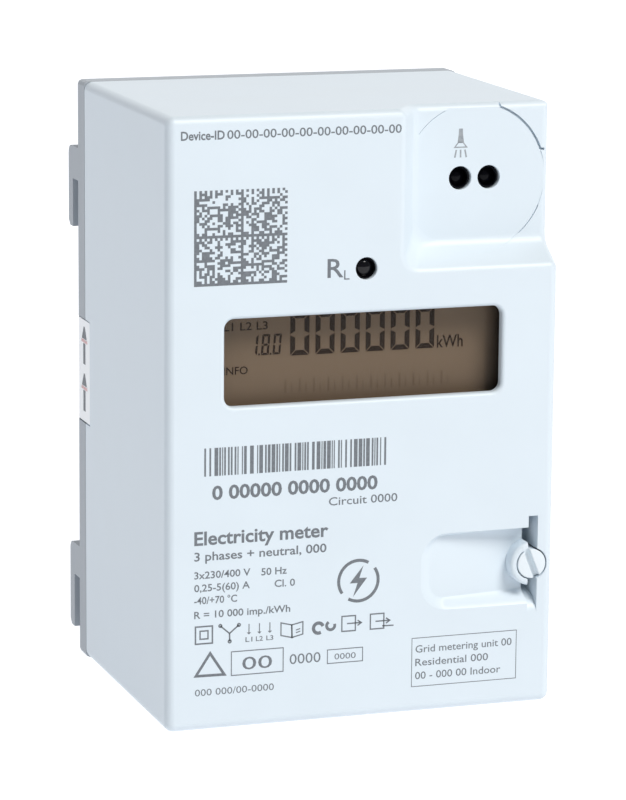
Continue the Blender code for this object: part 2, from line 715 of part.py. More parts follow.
def make_main_board():
    """Main board on the base posts, with its four screws."""
    board = block("main_board", MAIN_BOARD_LEFT, MAIN_BOARD_RIGHT, MAIN_BOARD_FRONT, MAIN_BOARD_BACK,
                  MAIN_BOARD_BOTTOM, MAIN_BOARD_TOP, BOARD_GREEN)
    for number, (x, z) in enumerate(MAIN_POSTS, start=1):
        hole = cylinder(f"cutter_main_hole_{number}", x, z, SCREW_HOLE, MAIN_BOARD_FRONT - 0.001,
                        MAIN_BOARD_BACK + 0.001, sides=12)
        cut(board, hole)
        head_front = MAIN_BOARD_FRONT - GAP - SCREW_HEAD_HEIGHT
        screw(f"board_screw_{number}", x, z, head_front, 1)


def board_block(name, place, front, back, finish, rounding=0):
    """Block-shaped part in front of the main board, with the edges along Y rounded if asked."""
    left, right, bottom, top = place
    part = block(name, left, right, front, back, bottom, top, finish)
    if rounding:
        round_edges(part, rounding, lambda a, b: near(a.x, b.x) and near(a.z, b.z), 2)
    return part


def make_board_parts():
    """Electronic parts on the front of the main board."""
    seat = MAIN_BOARD_FRONT - GAP
    board_block("connector_header", CONNECTOR, CONNECTOR_SPLIT, seat, DARK_PLASTIC)
    board_block("connector_socket", CONNECTOR, DISPLAY_BOARD_BACK + GAP, CONNECTOR_SPLIT - GAP,
                DARK_PLASTIC)
    board_block("power_transformer", POWER_TRANSFORMER, TRANSFORMER_FRONT, seat, YELLOW_TAPE, 0.0015)
    board_block("filter_capacitor", FILTER_CAPACITOR, FILTER_FRONT, seat, CORE_BLUE, 0.0008)
    board_block("metering_chip", METERING_CHIP, seat - CHIP_THICKNESS, seat, DARK_PLASTIC)
    board_block("processor_chip", PROCESSOR_CHIP, seat - CHIP_THICKNESS, seat, DARK_PLASTIC)
    ease = 0.0008
    for number, x in enumerate(CAPACITOR_COLUMNS, start=1):
        profile = [
            (0, CAPACITOR_FRONT),
            (CAPACITOR_RADIUS - ease, CAPACITOR_FRONT),
            (CAPACITOR_RADIUS, CAPACITOR_FRONT + ease),
            (CAPACITOR_RADIUS, seat),
            (0, seat),
        ]
        turned(f"storage_capacitor_{number}", profile, x, CAPACITOR_Z, DARK_PLASTIC, sides=20)
    turn = Matrix.Rotation(math.radians(90), 4, "Z")
    for number, x in enumerate(PHASE_COLUMNS, start=1):
        disc = cylinder(f"varistor_{number}", 0, 0, VARISTOR_RADIUS, -VARISTOR_HALF_THICKNESS,
                        VARISTOR_HALF_THICKNESS, CORE_BLUE, sides=20)
        place = Matrix.Translation((x, seat - VARISTOR_RADIUS, VARISTOR_Z))
        disc.data.transform(place @ turn)
    cylinder("backup_battery", BATTERY_X, BATTERY_Z, BATTERY_RADIUS, seat - BATTERY_HEIGHT, seat,
             STEEL, sides=28)


def current_bar(name, x):
    """C-shaped stamped bar: two contact blades joined by the limb through the transformer."""
    lower_bottom = LOWER_BLADE_Z - BLADE_HEIGHT / 2
    lower_top = LOWER_BLADE_Z + BLADE_HEIGHT / 2
    upper_bottom = UPPER_BLADE_Z - BLADE_HEIGHT / 2
    upper_top = UPPER_BLADE_Z + BLADE_HEIGHT / 2
    limb_back = BAR_FRONT + BAR_WIDTH
    outline = [
        (BAR_FRONT, lower_bottom),
        (BLADE_END, lower_bottom),
        (BLADE_END, lower_top),
        (limb_back, lower_top),
        (limb_back, upper_bottom),
        (BLADE_END, upper_bottom),
        (BLADE_END, upper_top),
        (BAR_FRONT, upper_top),
    ]
    prism_x(name, outline, x - BAR_THICKNESS / 2, x + BAR_THICKNESS / 2, COPPER)


def voltage_pin(name, x, bar_front):
    """Pin that takes the voltage from a bar to the main board."""
    cylinder(name, x, UPPER_BLADE_Z, PIN_RADIUS, MAIN_BOARD_BACK + GAP, bar_front - GAP, STEEL, sides=8)


def transformer_lead(name, x):
    """Short lead from a current transformer to the main board."""
    lead_x = x + LEAD_OFFSET
    ring_y = BAR_FRONT + BAR_WIDTH / 2 - RING_OUTER
    board_y = MAIN_BOARD_BACK + GAP
    bend_y = (ring_y + board_y) / 2
    route = [(ring_y, LEAD_RING_Z), (bend_y, LEAD_RING_Z), (bend_y, LEAD_BOARD_Z), (board_y, LEAD_BOARD_Z)]
    path = bpy.data.curves.new(name, "CURVE")
    path.dimensions = "3D"
    path.bevel_depth = LEAD_RADIUS
    path.bevel_resolution = 2
    path.use_fill_caps = True
    spline = path.splines.new("POLY")
    spline.points.add(len(route) - 1)
    for point, (y, z) in zip(spline.points, route):
        point.co = (lead_x, y, z, 1)
    lead = bpy.data.objects.new(name, path)
    bpy.context.scene.collection.objects.link(lead)
    paint(lead, RED_LED)


def make_current_paths():
    """Three measured phases and the neutral blade."""
    for number, x in enumerate(PHASE_COLUMNS, start=1):
        current_bar(f"phase_bar_{number}", x)
        half_length = (RING_TOP - RING_BOTTOM) / 2
        ring = tube(f"current_transformer_{number}", 0, 0, RING_INNER, RING_OUTER,
                    -half_length, half_length, CORE_BLUE, 28)
        stand_up(ring, (x, BAR_FRONT + BAR_WIDTH / 2, RING_BOTTOM + half_length))
        transformer_lead(f"transformer_lead_{number}", x)
        voltage_pin(f"voltage_pin_{number}", x, BAR_FRONT)
    half_height = BLADE_HEIGHT / 2
    outline = rectangle(NEUTRAL_FRONT, BLADE_END, UPPER_BLADE_Z - half_height, UPPER_BLADE_Z + half_height)
    half_width = BAR_THICKNESS / 2
    prism_x("neutral_blade", outline, NEUTRAL_COLUMN - half_width, NEUTRAL_COLUMN + half_width, COPPER)
    voltage_pin("neutral_pin", NEUTRAL_COLUMN, NEUTRAL_FRONT)


def on_lock_axis(piece, pivot):
    """Hang a piece made round the world Y axis on the lock's pivot."""
    piece.parent = pivot
    return piece


def make_lock():
    """Quarter-turn lock: a slotted spindle through the meter and a tongue behind the base."""
    pivot = bpy.data.objects.new("lock_pivot", None)
    bpy.context.scene.collection.objects.link(pivot)
    pivot.location = (LOCK_X, 0, LOCK_Z)
    pivot.rotation_euler = (0, -LOCK_TILT, 0)
    head_back = FRONT + LOCK_HEAD_LENGTH
    tongue_front = BASE_BACK + GAP
    tongue_back = tongue_front + TONGUE_THICKNESS
    groove_front = tongue_back + GAP / 2
    groove_back = groove_front + GROOVE_WIDTH
    profile = [
        (0, FRONT),
        (LOCK_HEAD - LOCK_EASE, FRONT),
        (LOCK_HEAD, FRONT + LOCK_EASE),
        (LOCK_HEAD, head_back),
        (LOCK_SHAFT, head_back),
        (LOCK_SHAFT, groove_front),
        (GROOVE_RADIUS, groove_front),
        (GROOVE_RADIUS, groove_back),
        (LOCK_SHAFT, groove_back),
        (LOCK_SHAFT, groove_back + GROOVE_WIDTH),
        (0, groove_back + GROOVE_WIDTH),
    ]
    spindle = on_lock_axis(turned("lock_spindle", profile, 0, 0, SHELL, sides=32), pivot)
    beyond = LOCK_HEAD + 0.001
    slot = block("cutter_driver_slot", -DRIVER_HALF_WIDTH, DRIVER_HALF_WIDTH, FRONT - 0.001,
                 FRONT + DRIVER_DEPTH, -beyond, beyond)
    wire_hole = cylinder("cutter_wire_hole", 0, 0, WIRE_HOLE_RADIUS, -beyond, beyond, sides=12)
    stand_up(wire_hole, (0, FRONT + WIRE_HOLE_DEPTH, 0))
    cut(spindle, on_lock_axis(slot, pivot), on_lock_axis(wire_hole, pivot))
    washer_front = head_back + GAP
    washer = tube("lock_washer", 0, 0, LOCK_SHAFT + 0.0002, LOCK_HEAD, washer_front,
                  washer_front + WASHER_THICKNESS, STEEL)
    on_lock_axis(washer, pivot)
    tip = TONGUE_REACH - TONGUE_HALF_WIDTH
    outline = arc(0, tip, TONGUE_HALF_WIDTH, 0, 180, 6)
    lean = math.degrees(math.acos(TONGUE_HALF_WIDTH / TONGUE_HUB))
    outline += arc(0, 0, TONGUE_HUB, 180 - lean, 360 + lean, 14)
    tongue = prism_y("lock_tongue", outline, tongue_front, tongue_back, STEEL)
    hole = cylinder("cutter_tongue_hole", 0, 0, LOCK_SHAFT + GAP, tongue_front - 0.001, tongue_back + 0.001)
    cut(on_lock_axis(tongue, pivot), on_lock_axis(hole, pivot))
    clip_front = groove_front + GAP
    clip = tube("lock_clip", 0, 0, CLIP_INNER, CLIP_OUTER, clip_front, clip_front + CLIP_THICKNESS, STEEL)
    on_lock_axis(clip, pivot)


def make_sticker():
    """Thin seal sticker lying in its pocket."""
    inner = -HALF_WIDTH + POCKET_DEPTH - GAP
    block("seal_sticker", inner - STICKER_THICKNESS, inner, STICKER_FRONT, STICKER_BACK,
          STICKER_BOTTOM, STICKER_TOP, WHITE_PAPER)


shared_pocket = sticker_pocket()
make_cover(shared_pocket)
make_base(shared_pocket)
make_display()
make_display_board()
make_optics()
make_main_board()
make_board_parts()
make_current_paths()
make_lock()
make_sticker()
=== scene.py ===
"""Looks of the plug-in smart electric meter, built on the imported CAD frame.

Metres, in the frame's own axes: +X right seen from the front, the front face looks along -Y,
+Z up. MM turns millimetres into metres. Places come from the CAD nodes' boxes wherever a
piece has to meet them.
"""

import json
import math
import random

import bmesh
import bpy
from mathutils import Matrix, Vector


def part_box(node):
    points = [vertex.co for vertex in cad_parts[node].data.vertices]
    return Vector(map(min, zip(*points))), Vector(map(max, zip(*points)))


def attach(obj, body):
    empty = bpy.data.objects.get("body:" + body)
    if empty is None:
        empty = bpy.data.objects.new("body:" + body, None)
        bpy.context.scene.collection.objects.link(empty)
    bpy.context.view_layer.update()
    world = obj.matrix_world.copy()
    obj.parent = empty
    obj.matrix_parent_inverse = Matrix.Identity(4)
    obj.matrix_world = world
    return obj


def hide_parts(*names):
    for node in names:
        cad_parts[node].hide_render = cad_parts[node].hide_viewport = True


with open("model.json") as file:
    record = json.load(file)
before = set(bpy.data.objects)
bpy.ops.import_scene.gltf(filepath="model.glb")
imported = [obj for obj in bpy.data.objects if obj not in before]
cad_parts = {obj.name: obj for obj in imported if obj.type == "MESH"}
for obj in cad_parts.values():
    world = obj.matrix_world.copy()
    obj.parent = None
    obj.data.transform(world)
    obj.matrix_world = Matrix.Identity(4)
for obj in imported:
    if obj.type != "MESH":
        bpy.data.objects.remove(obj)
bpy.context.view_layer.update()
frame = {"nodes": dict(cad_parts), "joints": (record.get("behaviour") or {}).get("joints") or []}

MM = 0.001
HOUSING = "housing"
LOCK = "lock"
random.seed(7)

cover_low, cover_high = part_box("front_cover")
base_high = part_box("base_plate")[1]
FRONT = cover_low.y
SEAM = cover_high.y
HALF_WIDTH = cover_high.x
HEIGHT = cover_high.z
WALL = 2.0 * MM
ROUNDING = 2.0 * MM
ROUND_STEPS = 6
CLEAR = 5 * MM
BEYOND = 6 * MM

# Port: stepped-back corner with a round seat for a reading head
PORT_LEFT = 9.5 * MM
PORT_BOTTOM = 100.6 * MM
PORT_FLOOR = FRONT + 7.0 * MM
PORT_FILLET = 3.0 * MM
PORT_SLOPE = math.radians(33)
SEAT_RADIUS = 16.5 * MM
SEAT_DEPTH = 0.18 * MM
SEAT_FLOOR = PORT_FLOOR + SEAT_DEPTH
PORT_CORNER = 3.0 * MM
PORT_CORNER_GROWTH = 0.3
EYE_RADIUS = 2.6 * MM
LAMP_HOLE_RADIUS = 2.45 * MM
HOLE_DEPTH = 4 * MM

# Lock
joint = frame["joints"][0]
LOCK_X, LOCK_Z = joint["pos_m"][0], joint["pos_m"][2]
LOCK_TILT = math.radians(22)
SLOT_HALF = 0.95 * MM
SLOT_EXTRA = 0.33 * MM
COLLAR_RADIUS = 5.0 * MM


def centre_of(node):
    """Middle of a CAD node's box."""
    low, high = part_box(node)
    return (low + high) / 2


lens_centres = [centre_of("optical_lens_left"), centre_of("optical_lens_right")]
SEAT_X = (lens_centres[0].x + lens_centres[1].x) / 2
SEAT_Z = lens_centres[0].z
lamp_centre = centre_of("test_lamp_lens")


# ---------------- materials


def new_material(name, colour, roughness, metallic=0.0):
    """Plain Principled material, with its node tree and shader."""
    material = bpy.data.materials.new(name)
    material.use_nodes = True
    tree = material.node_tree
    shader = tree.nodes["Principled BSDF"]
    shader.inputs["Base Color"].default_value = (*colour, 1)
    shader.inputs["Roughness"].default_value = roughness
    shader.inputs["Metallic"].default_value = metallic
    return material, tree, shader


def noise(tree, scale, detail=3.0, stretch=(1, 1, 1)):
    """Noise texture in the object's own space, in cycles per metre."""
    place = tree.nodes.new("ShaderNodeTexCoord")
    mapping = tree.nodes.new("ShaderNodeMapping")
    mapping.inputs["Scale"].default_value = stretch
    texture = tree.nodes.new("ShaderNodeTexNoise")
    texture.inputs["Scale"].default_value = scale
    texture.inputs["Detail"].default_value = detail
    tree.links.new(place.outputs["Object"], mapping.inputs["Vector"])
    tree.links.new(mapping.outputs["Vector"], texture.inputs["Vector"])
    return texture.outputs["Fac"]


def paint(tree, shader, value, low, high, colours):
    """Base colour that runs from one colour to another as the value rises from low to high."""
    node = tree.nodes.new("ShaderNodeValToRGB")
    node.color_ramp.elements[0].position = low
    node.color_ramp.elements[1].position = high
    for element, colour in zip(node.color_ramp.elements, colours):
        element.color = (*colour, 1)
    tree.links.new(value, node.inputs["Fac"])
    tree.links.new(node.outputs["Color"], shader.inputs["Base Color"])


def vary_roughness(tree, shader, value, low, high):
    """Roughness that follows a noise value."""
    node = tree.nodes.new("ShaderNodeMapRange")
    node.inputs["To Min"].default_value = low
    node.inputs["To Max"].default_value = high
    tree.links.new(value, node.inputs["Value"])
    tree.links.new(node.outputs["Result"], shader.inputs["Roughness"])


def add_bump(tree, shader, values, distance):
    """Bump from (value, strength) pairs, one laid on the other."""
    normal = None
    for value, strength in values:
        bump = tree.nodes.new("ShaderNodeBump")
        bump.inputs["Strength"].default_value = strength
        bump.inputs["Distance"].default_value = distance
        tree.links.new(value, bump.inputs["Height"])
        if normal:
            tree.links.new(normal, bump.inputs["Normal"])
        normal = bump.outputs["Normal"]
    tree.links.new(normal, shader.inputs["Normal"])


def tinted(colour, factor):
    """A colour made lighter or darker."""
    return tuple(min(1.0, channel * factor) for channel in colour)


def moulded(name, colour, roughness, grain=2600, relief=0.10):
    """Moulded plastic: fine spark-eroded grain, faint flow mottling and uneven gloss."""
    material, tree, shader = new_material(name, colour, roughness)
    mottling = noise(tree, 55, 4)
    fine = noise(tree, grain, 2)
    paint(tree, shader, mottling, 0.3, 0.7, (tinted(colour, 0.985), tinted(colour, 1.01)))
    vary_roughness(tree, shader, mottling, roughness - 0.05, roughness + 0.07)
    add_bump(tree, shader, [(fine, relief), (mottling, relief * 0.5)], 0.00006)
    return material


def brushed(name, colour, roughness, stretch=(1, 12, 1)):
    """Metal with fine drawn lines."""
    material, tree, shader = new_material(name, colour, roughness, 1.0)
    lines = noise(tree, 900, 3, stretch)
    paint(tree, shader, lines, 0.3, 0.7, (tinted(colour, 0.85), tinted(colour, 1.08)))
    vary_roughness(tree, shader, lines, roughness - 0.08, roughness + 0.12)
    add_bump(tree, shader, [(lines, 0.12)], 0.00004)
    return material


def glossy(name, colour, roughness, coat=0.6):
    """Polished plastic with a clear skin and faint unevenness."""
    material, tree, shader = new_material(name, colour, roughness)
    shader.inputs["Coat Weight"].default_value = coat
    shader.inputs["Coat Roughness"].default_value = 0.03
    waves = noise(tree, 400, 2)
    paint(tree, shader, waves, 0.3, 0.7, (tinted(colour, 0.9), tinted(colour, 1.1)))
    add_bump(tree, shader, [(waves, 0.05)], 0.00005)
    return material


def solder_resist(name):
    """Circuit board: green resist over copper tracks and ground fill."""
    material, tree, shader = new_material(name, (0.02, 0.15, 0.06), 0.35)
    place = tree.nodes.new("ShaderNodeTexCoord")
    cells = tree.nodes.new("ShaderNodeTexVoronoi")
    cells.feature = "DISTANCE_TO_EDGE"
    cells.inputs["Scale"].default_value = 420
    tree.links.new(place.outputs["Object"], cells.inputs["Vector"])
    tracks = cells.outputs["Distance"]
    paint(tree, shader, tracks, 0.04, 0.09, ((0.05, 0.26, 0.10), (0.012, 0.11, 0.045)))
    add_bump(tree, shader, [(tracks, 0.2)], 0.00004)
    shader.inputs["Coat Weight"].default_value = 0.4
    return material


SHELL_COLOUR = (0.693, 0.777, 0.845)
BASE_COLOUR = (0.40, 0.44, 0.485)
shell_plastic = moulded("shell_plastic", SHELL_COLOUR, 0.42)
base_plastic = moulded("base_plastic", BASE_COLOUR, 0.50, 2200, 0.14)
lock_plastic = moulded("lock_plastic", (0.76, 0.83, 0.88), 0.36, 3000, 0.05)
dark_plastic = moulded("dark_plastic", (0.022, 0.020, 0.019), 0.5)
black_gloss = glossy("black_gloss", (0.003, 0.003, 0.005), 0.1, 0.0)
black_deep = glossy("black_deep", (0.002, 0.002, 0.004), 0.2, 0.0)
for material, level in ((black_gloss, 0.4), (black_deep, 0.12)):
    material.node_tree.nodes["Principled BSDF"].inputs["Specular IOR Level"].default_value = level
steel = brushed("steel", (0.62, 0.63, 0.65), 0.32)
copper_alloy = brushed("copper_alloy", (0.80, 0.62, 0.42), 0.28)
board_green = solder_resist("board_green")
blue_epoxy = glossy("blue_epoxy", (0.04, 0.10, 0.33), 0.25, 0.4)
red_gloss = glossy("red_gloss", (0.40, 0.02, 0.02), 0.2)
milky_plastic = moulded("milky_plastic", (0.74, 0.75, 0.74), 0.35, 1500, 0.05)
tape_yellow = glossy("tape_yellow", (0.70, 0.55, 0.07), 0.3, 0.3)
grey_rubber = moulded("grey_rubber", (0.17, 0.17, 0.18), 0.75, 1800, 0.2)


def print_ink():
    """Grey pad-printed ink, a little uneven in density."""
    colour = (0.150, 0.168, 0.190)
    material, tree, shader = new_material("print_ink", colour, 0.55)
    density = noise(tree, 1500, 3)
    paint(tree, shader, density, 0.3, 0.75, (tinted(colour, 0.9), tinted(colour, 1.25)))
    return material


ink = print_ink()


# ---------------- mesh tools


def to_object(name, shape, material):
    """Turn a bmesh into an object with one material."""
    bmesh.ops.recalc_face_normals(shape, faces=shape.faces)
    mesh = bpy.data.meshes.new(name)
    shape.to_mesh(mesh)
    shape.free()
    piece = bpy.data.objects.new(name, mesh)
    bpy.context.scene.collection.objects.link(piece)
    if material:
        mesh.materials.append(material)
    return piece


def smooth(piece, angle=32):
    """Smooth shading with sharp edges kept."""
    piece.data.shade_smooth()
    piece.data.set_sharp_from_angle(angle=math.radians(angle))
    return piece


def loft(name, rings, material=None):
    """Closed solid through rings of points with the same count."""
    shape = bmesh.new()
    loops = [[shape.verts.new(point) for point in ring] for ring in rings]
    count = len(loops[0])
    for first, second in zip(loops, loops[1:]):
        for index in range(count):
            following = (index + 1) % count
            shape.faces.new((first[index], first[following], second[following], second[index]))
    shape.faces.new(loops[0])
    shape.faces.new(loops[-1])
    return to_object(name, shape, material)


def along_y(outline, y):
    """Outline of (x, z) points as a ring at a depth."""
    return [(x, y, z) for x, z in outline]


def prism_y(name, outline, front, back, material=None):
    """Outline of (x, z) points extruded along Y."""
    return loft(name, [along_y(outline, front), along_y(outline, back)], material)


def prism_x(name, outline, low, high, material=None):
    """Outline of (y, z) points extruded along X."""
    return loft(name, [[(x, y, z) for y, z in outline] for x in (low, high)], material)


def rectangle(left, right, bottom, top):
    """Plain rectangle outline."""
    return [(left, bottom), (right, bottom), (right, top), (left, top)]


def arc(centre, radius, start, end, steps):
    """Points on an arc; angles in degrees from the first axis."""
    points = []
    for step in range(steps + 1):
        angle = math.radians(start + (end - start) * step / steps)
        points.append((centre[0] + radius * math.cos(angle), centre[1] + radius * math.sin(angle)))
    return points


def rounded_rectangle(left, right, bottom, top, radius, steps=8):
    """Rectangle outline with round corners."""
    corners = [
        ((right - radius, top - radius), 0),
        ((left + radius, top - radius), 90),
        ((left + radius, bottom + radius), 180),
        ((right - radius, bottom + radius), 270),
    ]
    outline = []
    for centre, start in corners:
        outline += arc(centre, radius, start, start + 90, steps)
    return outline


def turned(name, profile, x, z, material=None, sides=64):
    """Spin a profile of (radius, y) points about the Y line through x and z."""
    shape = bmesh.new()
    verts = [shape.verts.new((x + radius, y, z)) for radius, y in profile]
    edges = [shape.edges.new(pair) for pair in zip(verts, verts[1:])]
    bmesh.ops.spin(shape, geom=verts + edges, cent=(x, 0, z), axis=(0, 1, 0), angle=math.tau,
                   steps=sides, use_merge=True)
    bmesh.ops.remove_doubles(shape, verts=shape.verts, dist=1e-6)
    return smooth(to_object(name, shape, material))


def cylinder(name, x, z, radius, front, back, sides):
    """Round solid along Y."""
    return turned(name, [(0, front), (radius, front), (radius, back), (0, back)], x, z, None, sides)


def quarter(steps=ROUND_STEPS):
    """Angles of a quarter turn in radians."""
    return [math.radians(90 * step / steps) for step in range(steps + 1)]


def combine(piece, tool, operation):
    """Queue one Boolean on the piece."""
    modifier = piece.modifiers.new(tool.name, "BOOLEAN")
    modifier.operation = operation
    modifier.solver = "EXACT"
    modifier.object = tool


def settle(piece, tools):
    """Apply the piece's modifiers and remove the tools."""
    graph = bpy.context.evaluated_depsgraph_get()
    mesh = bpy.data.meshes.new_from_object(piece.evaluated_get(graph))
    piece.modifiers.clear()
    piece.data = mesh
    for tool in tools:
        bpy.data.objects.remove(tool, do_unlink=True)
    return piece


def carve(piece, cutters, added=()):
    """Join the added solids to the piece, then cut every cutter from it."""
    for tool in added:
        combine(piece, tool, "UNION")
    for tool in cutters:
        combine(piece, tool, "DIFFERENCE")
    return settle(piece, list(added) + list(cutters))


def bevel_where(piece, radius, chosen):
    """Round the edges whose two ends satisfy the test."""
    shape = bmesh.new()
    shape.from_mesh(piece.data)
    edges = [edge for edge in shape.edges if chosen(edge.verts[0].co, edge.verts[1].co)]
    bmesh.ops.bevel(shape, geom=edges, offset=radius, segments=ROUND_STEPS, profile=0.5, affect="EDGES")
    shape.to_mesh(piece.data)
    shape.free()
    return piece


def even_normals(piece):
    """Let large flat faces keep their own shading next to fine roundings."""
    smooth(piece, 30)
    modifier = piece.modifiers.new("even_normals", "WEIGHTED_NORMAL")
    modifier.keep_sharp = True
    modifier.weight = 90
    return piece


def near(value, target):
    """Same length to a hundredth of a millimetre."""
    return abs(value - target) < 1e-5


def path_sides(points, width, closed=False):
    """Left and right sides of a line of even width with mitred corners."""
    count = len(points)
    lefts = []
    rights = []
    for index, point in enumerate(points):
        here = Vector(point)
        before = Vector(points[index - 1]) if closed or index else None
        after = Vector(points[(index + 1) % count]) if closed or index < count - 1 else None
        ways = [(here - before).normalized()] if before else []
        ways += [(after - here).normalized()] if after else []
        way = sum(ways, Vector((0, 0))).normalized()
        normal = Vector((-way.y, way.x))
        reach = width / 2 / max(0.3, normal.dot(Vector((-ways[0].y, ways[0].x))))
        lefts.append(here + normal * reach)
        rights.append(here - normal * reach)
    return lefts, rights


# ---------------- front cover


def port_outline(offset):
    """Outline of the port, moved outward by the offset on its two closed sides."""
    corner = PORT_CORNER + (offset if offset > 0 else -PORT_CORNER_GROWTH * offset)
    left = PORT_LEFT - offset
    bottom = PORT_BOTTOM - offset
    outline = [(HALF_WIDTH + BEYOND, bottom), (HALF_WIDTH + BEYOND, HEIGHT + BEYOND)]
    outline.append((left, HEIGHT + BEYOND))
    return outline + arc((left + corner, bottom + corner), corner, 180, 270, 6)


def step_section(wall, offset=0):
    """Port's section across a closed side: rounded mouth, slope and fillet as (y, distance) points.

    The offset moves the whole section into the material.
    """
    slant = math.degrees(PORT_SLOPE)
    radii = PORT_FILLET + ROUNDING
    run = PORT_FLOOR - FRONT - radii + radii * math.sin(PORT_SLOPE)
    rise = radii * math.cos(PORT_SLOPE) + run * math.tan(PORT_SLOPE)
    mouth = (FRONT + ROUNDING, wall - ROUNDING)
    fillet = (PORT_FLOOR - PORT_FILLET, wall - ROUNDING + rise)
    points = arc(mouth, max(ROUNDING - offset, 0.02 * MM), 180, 90 + slant, ROUND_STEPS)
    points += arc(fillet, PORT_FILLET + offset, 270 + slant, 360, ROUND_STEPS)
    return points


def port_cutter(name="port_cutter", deeper=0):
    """Step back the corner, with a rounded mouth and sloping closed sides."""
    rings = [along_y(port_outline(ROUNDING), FRONT - CLEAR)]
    for y, distance in step_section(0):
        rings.append(along_y(port_outline(-distance), y + deeper))
    return loft(name, rings)


def seat_cutter():
    """Round seat: the port's own shape, a little deeper, inside a circle."""
    seat = port_cutter("seat_cutter", SEAT_DEPTH)
    edge = cylinder("seat_edge", SEAT_X, SEAT_Z, SEAT_RADIUS, FRONT + 1 * MM, PORT_FLOOR + 3 * MM, sides=128)
    combine(seat, edge, "INTERSECT")
    return settle(seat, [edge])


def seat_grooves():
    """Narrow grooves along three parts of the seat's edge; the widest one has curled ends."""
    grooves = []
    curl = 1.0 * MM
    spans = [
        ("upper_right", 21, 69, 0.50 * MM, 0.9 * MM),
        ("lower_right", -50, -24, 0.18 * MM, 0.3 * MM),
        ("upper_left", 116, 143, 0.16 * MM, 0.25 * MM),
    ]
    for name, start, end, width, depth in spans:
        path = arc((SEAT_X, SEAT_Z), SEAT_RADIUS, start, end, 20)
        if name == "upper_right":
            first, last = path[0], path[-1]
            path.insert(0, (first[0] + curl, first[1] - 0.2 * curl))
            path.append((last[0] - 0.3 * curl, last[1] + curl))
        lefts, rights = path_sides(path, width)
        outline = [tuple(point) for point in lefts + rights[::-1]]
        grooves.append(prism_y(f"groove_{name}", outline, PORT_FLOOR - 1 * MM, SEAT_FLOOR + depth))
    return grooves


def step_profile(wall, far, offset):
    """Whole section of the port, closed in the air in front of it."""
    points = [(FRONT - CLEAR, wall - ROUNDING)] + step_section(wall, offset)
    return points + [(PORT_FLOOR + offset, far), (FRONT - CLEAR, far)]


def port_edge_cutters():
    """Round the edges that the port's floor and ledge make with the outer side and top."""
    slack = 0.01 * MM
    steps = []
    for angle in quarter():
        steps.append((-ROUNDING * (1 - math.sin(angle)), ROUNDING * (1 - math.cos(angle)) - slack))
    steps.append((BEYOND, ROUNDING - slack))
    side_rings = []
    top_rings = []
    for reach, offset in steps:
        side = step_profile(PORT_BOTTOM, HEIGHT + BEYOND, offset)
        side_rings.append([(HALF_WIDTH + reach, y, z) for y, z in side])
        top = step_profile(PORT_LEFT, HALF_WIDTH + BEYOND, offset)
        top_rings.append([(x, y, HEIGHT + reach) for y, x in top])
    return [loft("port_side_cutter", side_rings), loft("port_top_cutter", top_rings)]


def eased_hole(name, middle, radius, surface, ease):
    """Round hole cutter whose mouth is eased by a small rounding."""
    profile = [(0, surface - 2 * MM), (radius + ease, surface - 2 * MM)]
    for angle in quarter(4):
        profile.append((radius + ease * (1 - math.sin(angle)), surface + ease * (1 - math.cos(angle))))
    profile += [(radius, surface + HOLE_DEPTH), (0, surface + HOLE_DEPTH)]
    return turned(name, profile, middle.x, middle.z)


# Display opening
VIEW_LEFT, VIEW_RIGHT = -31.9 * MM, 31.9 * MM
VIEW_BOTTOM, VIEW_TOP = 71.7 * MM, 91.0 * MM
VIEW_EASE = 0.9 * MM
VIEW_CORNER = 2.2 * MM


def view_outline(offset):
    """Display opening, moved outward by the offset."""
    return rounded_rectangle(VIEW_LEFT - offset, VIEW_RIGHT + offset, VIEW_BOTTOM - offset,
                             VIEW_TOP + offset, VIEW_CORNER + offset)


def display_cutter():
    """Display opening with its rounded border."""
    rings = [along_y(view_outline(VIEW_EASE), FRONT - 2 * MM)]
    for angle in quarter():
        offset = VIEW_EASE * (1 - math.sin(angle))
        rings.append(along_y(view_outline(offset), FRONT + VIEW_EASE * (1 - math.cos(angle))))
    rings.append(along_y(view_outline(0), FRONT + WALL + 1 * MM))
    return loft("display_cutter", rings)


# Lock recess: a ramp that starts shallow on the left and is deep beside the lock
RECESS_LEFT = 14.2 * MM
RECESS_BOTTOM, RECESS_TOP = 23.7 * MM, 40.3 * MM
RECESS_SHALLOW, RECESS_DEEP = 0.8 * MM, 4.1 * MM
RECESS_EASE = 0.7 * MM
RECESS_RUN = 2.0 * MM
RECESS_CORNER = 5.5 * MM
RECESS_UPPER_SHARE = 0.3


def recess_ring(offset, share):
    """Outline of the lock recess at a share of its full depth; the upper side is the steepest."""
    left, bottom = RECESS_LEFT - offset, RECESS_BOTTOM - offset
    top = RECESS_TOP + offset * RECESS_UPPER_SHARE
    corner = RECESS_CORNER + offset
    outline = [(LOCK_X, bottom), (LOCK_X, top)]
    outline += arc((left + corner, top - corner), corner, 90, 180, 10)
    outline += arc((left + corner, bottom + corner), corner, 180, 270, 10)
    start = RECESS_LEFT - RECESS_EASE
    ring = []
    for x, z in outline:
        depth = RECESS_SHALLOW + (RECESS_DEEP - RECESS_SHALLOW) * (x - start) / (LOCK_X - start)
        ring.append((x, FRONT + share * depth, z))
    return ring


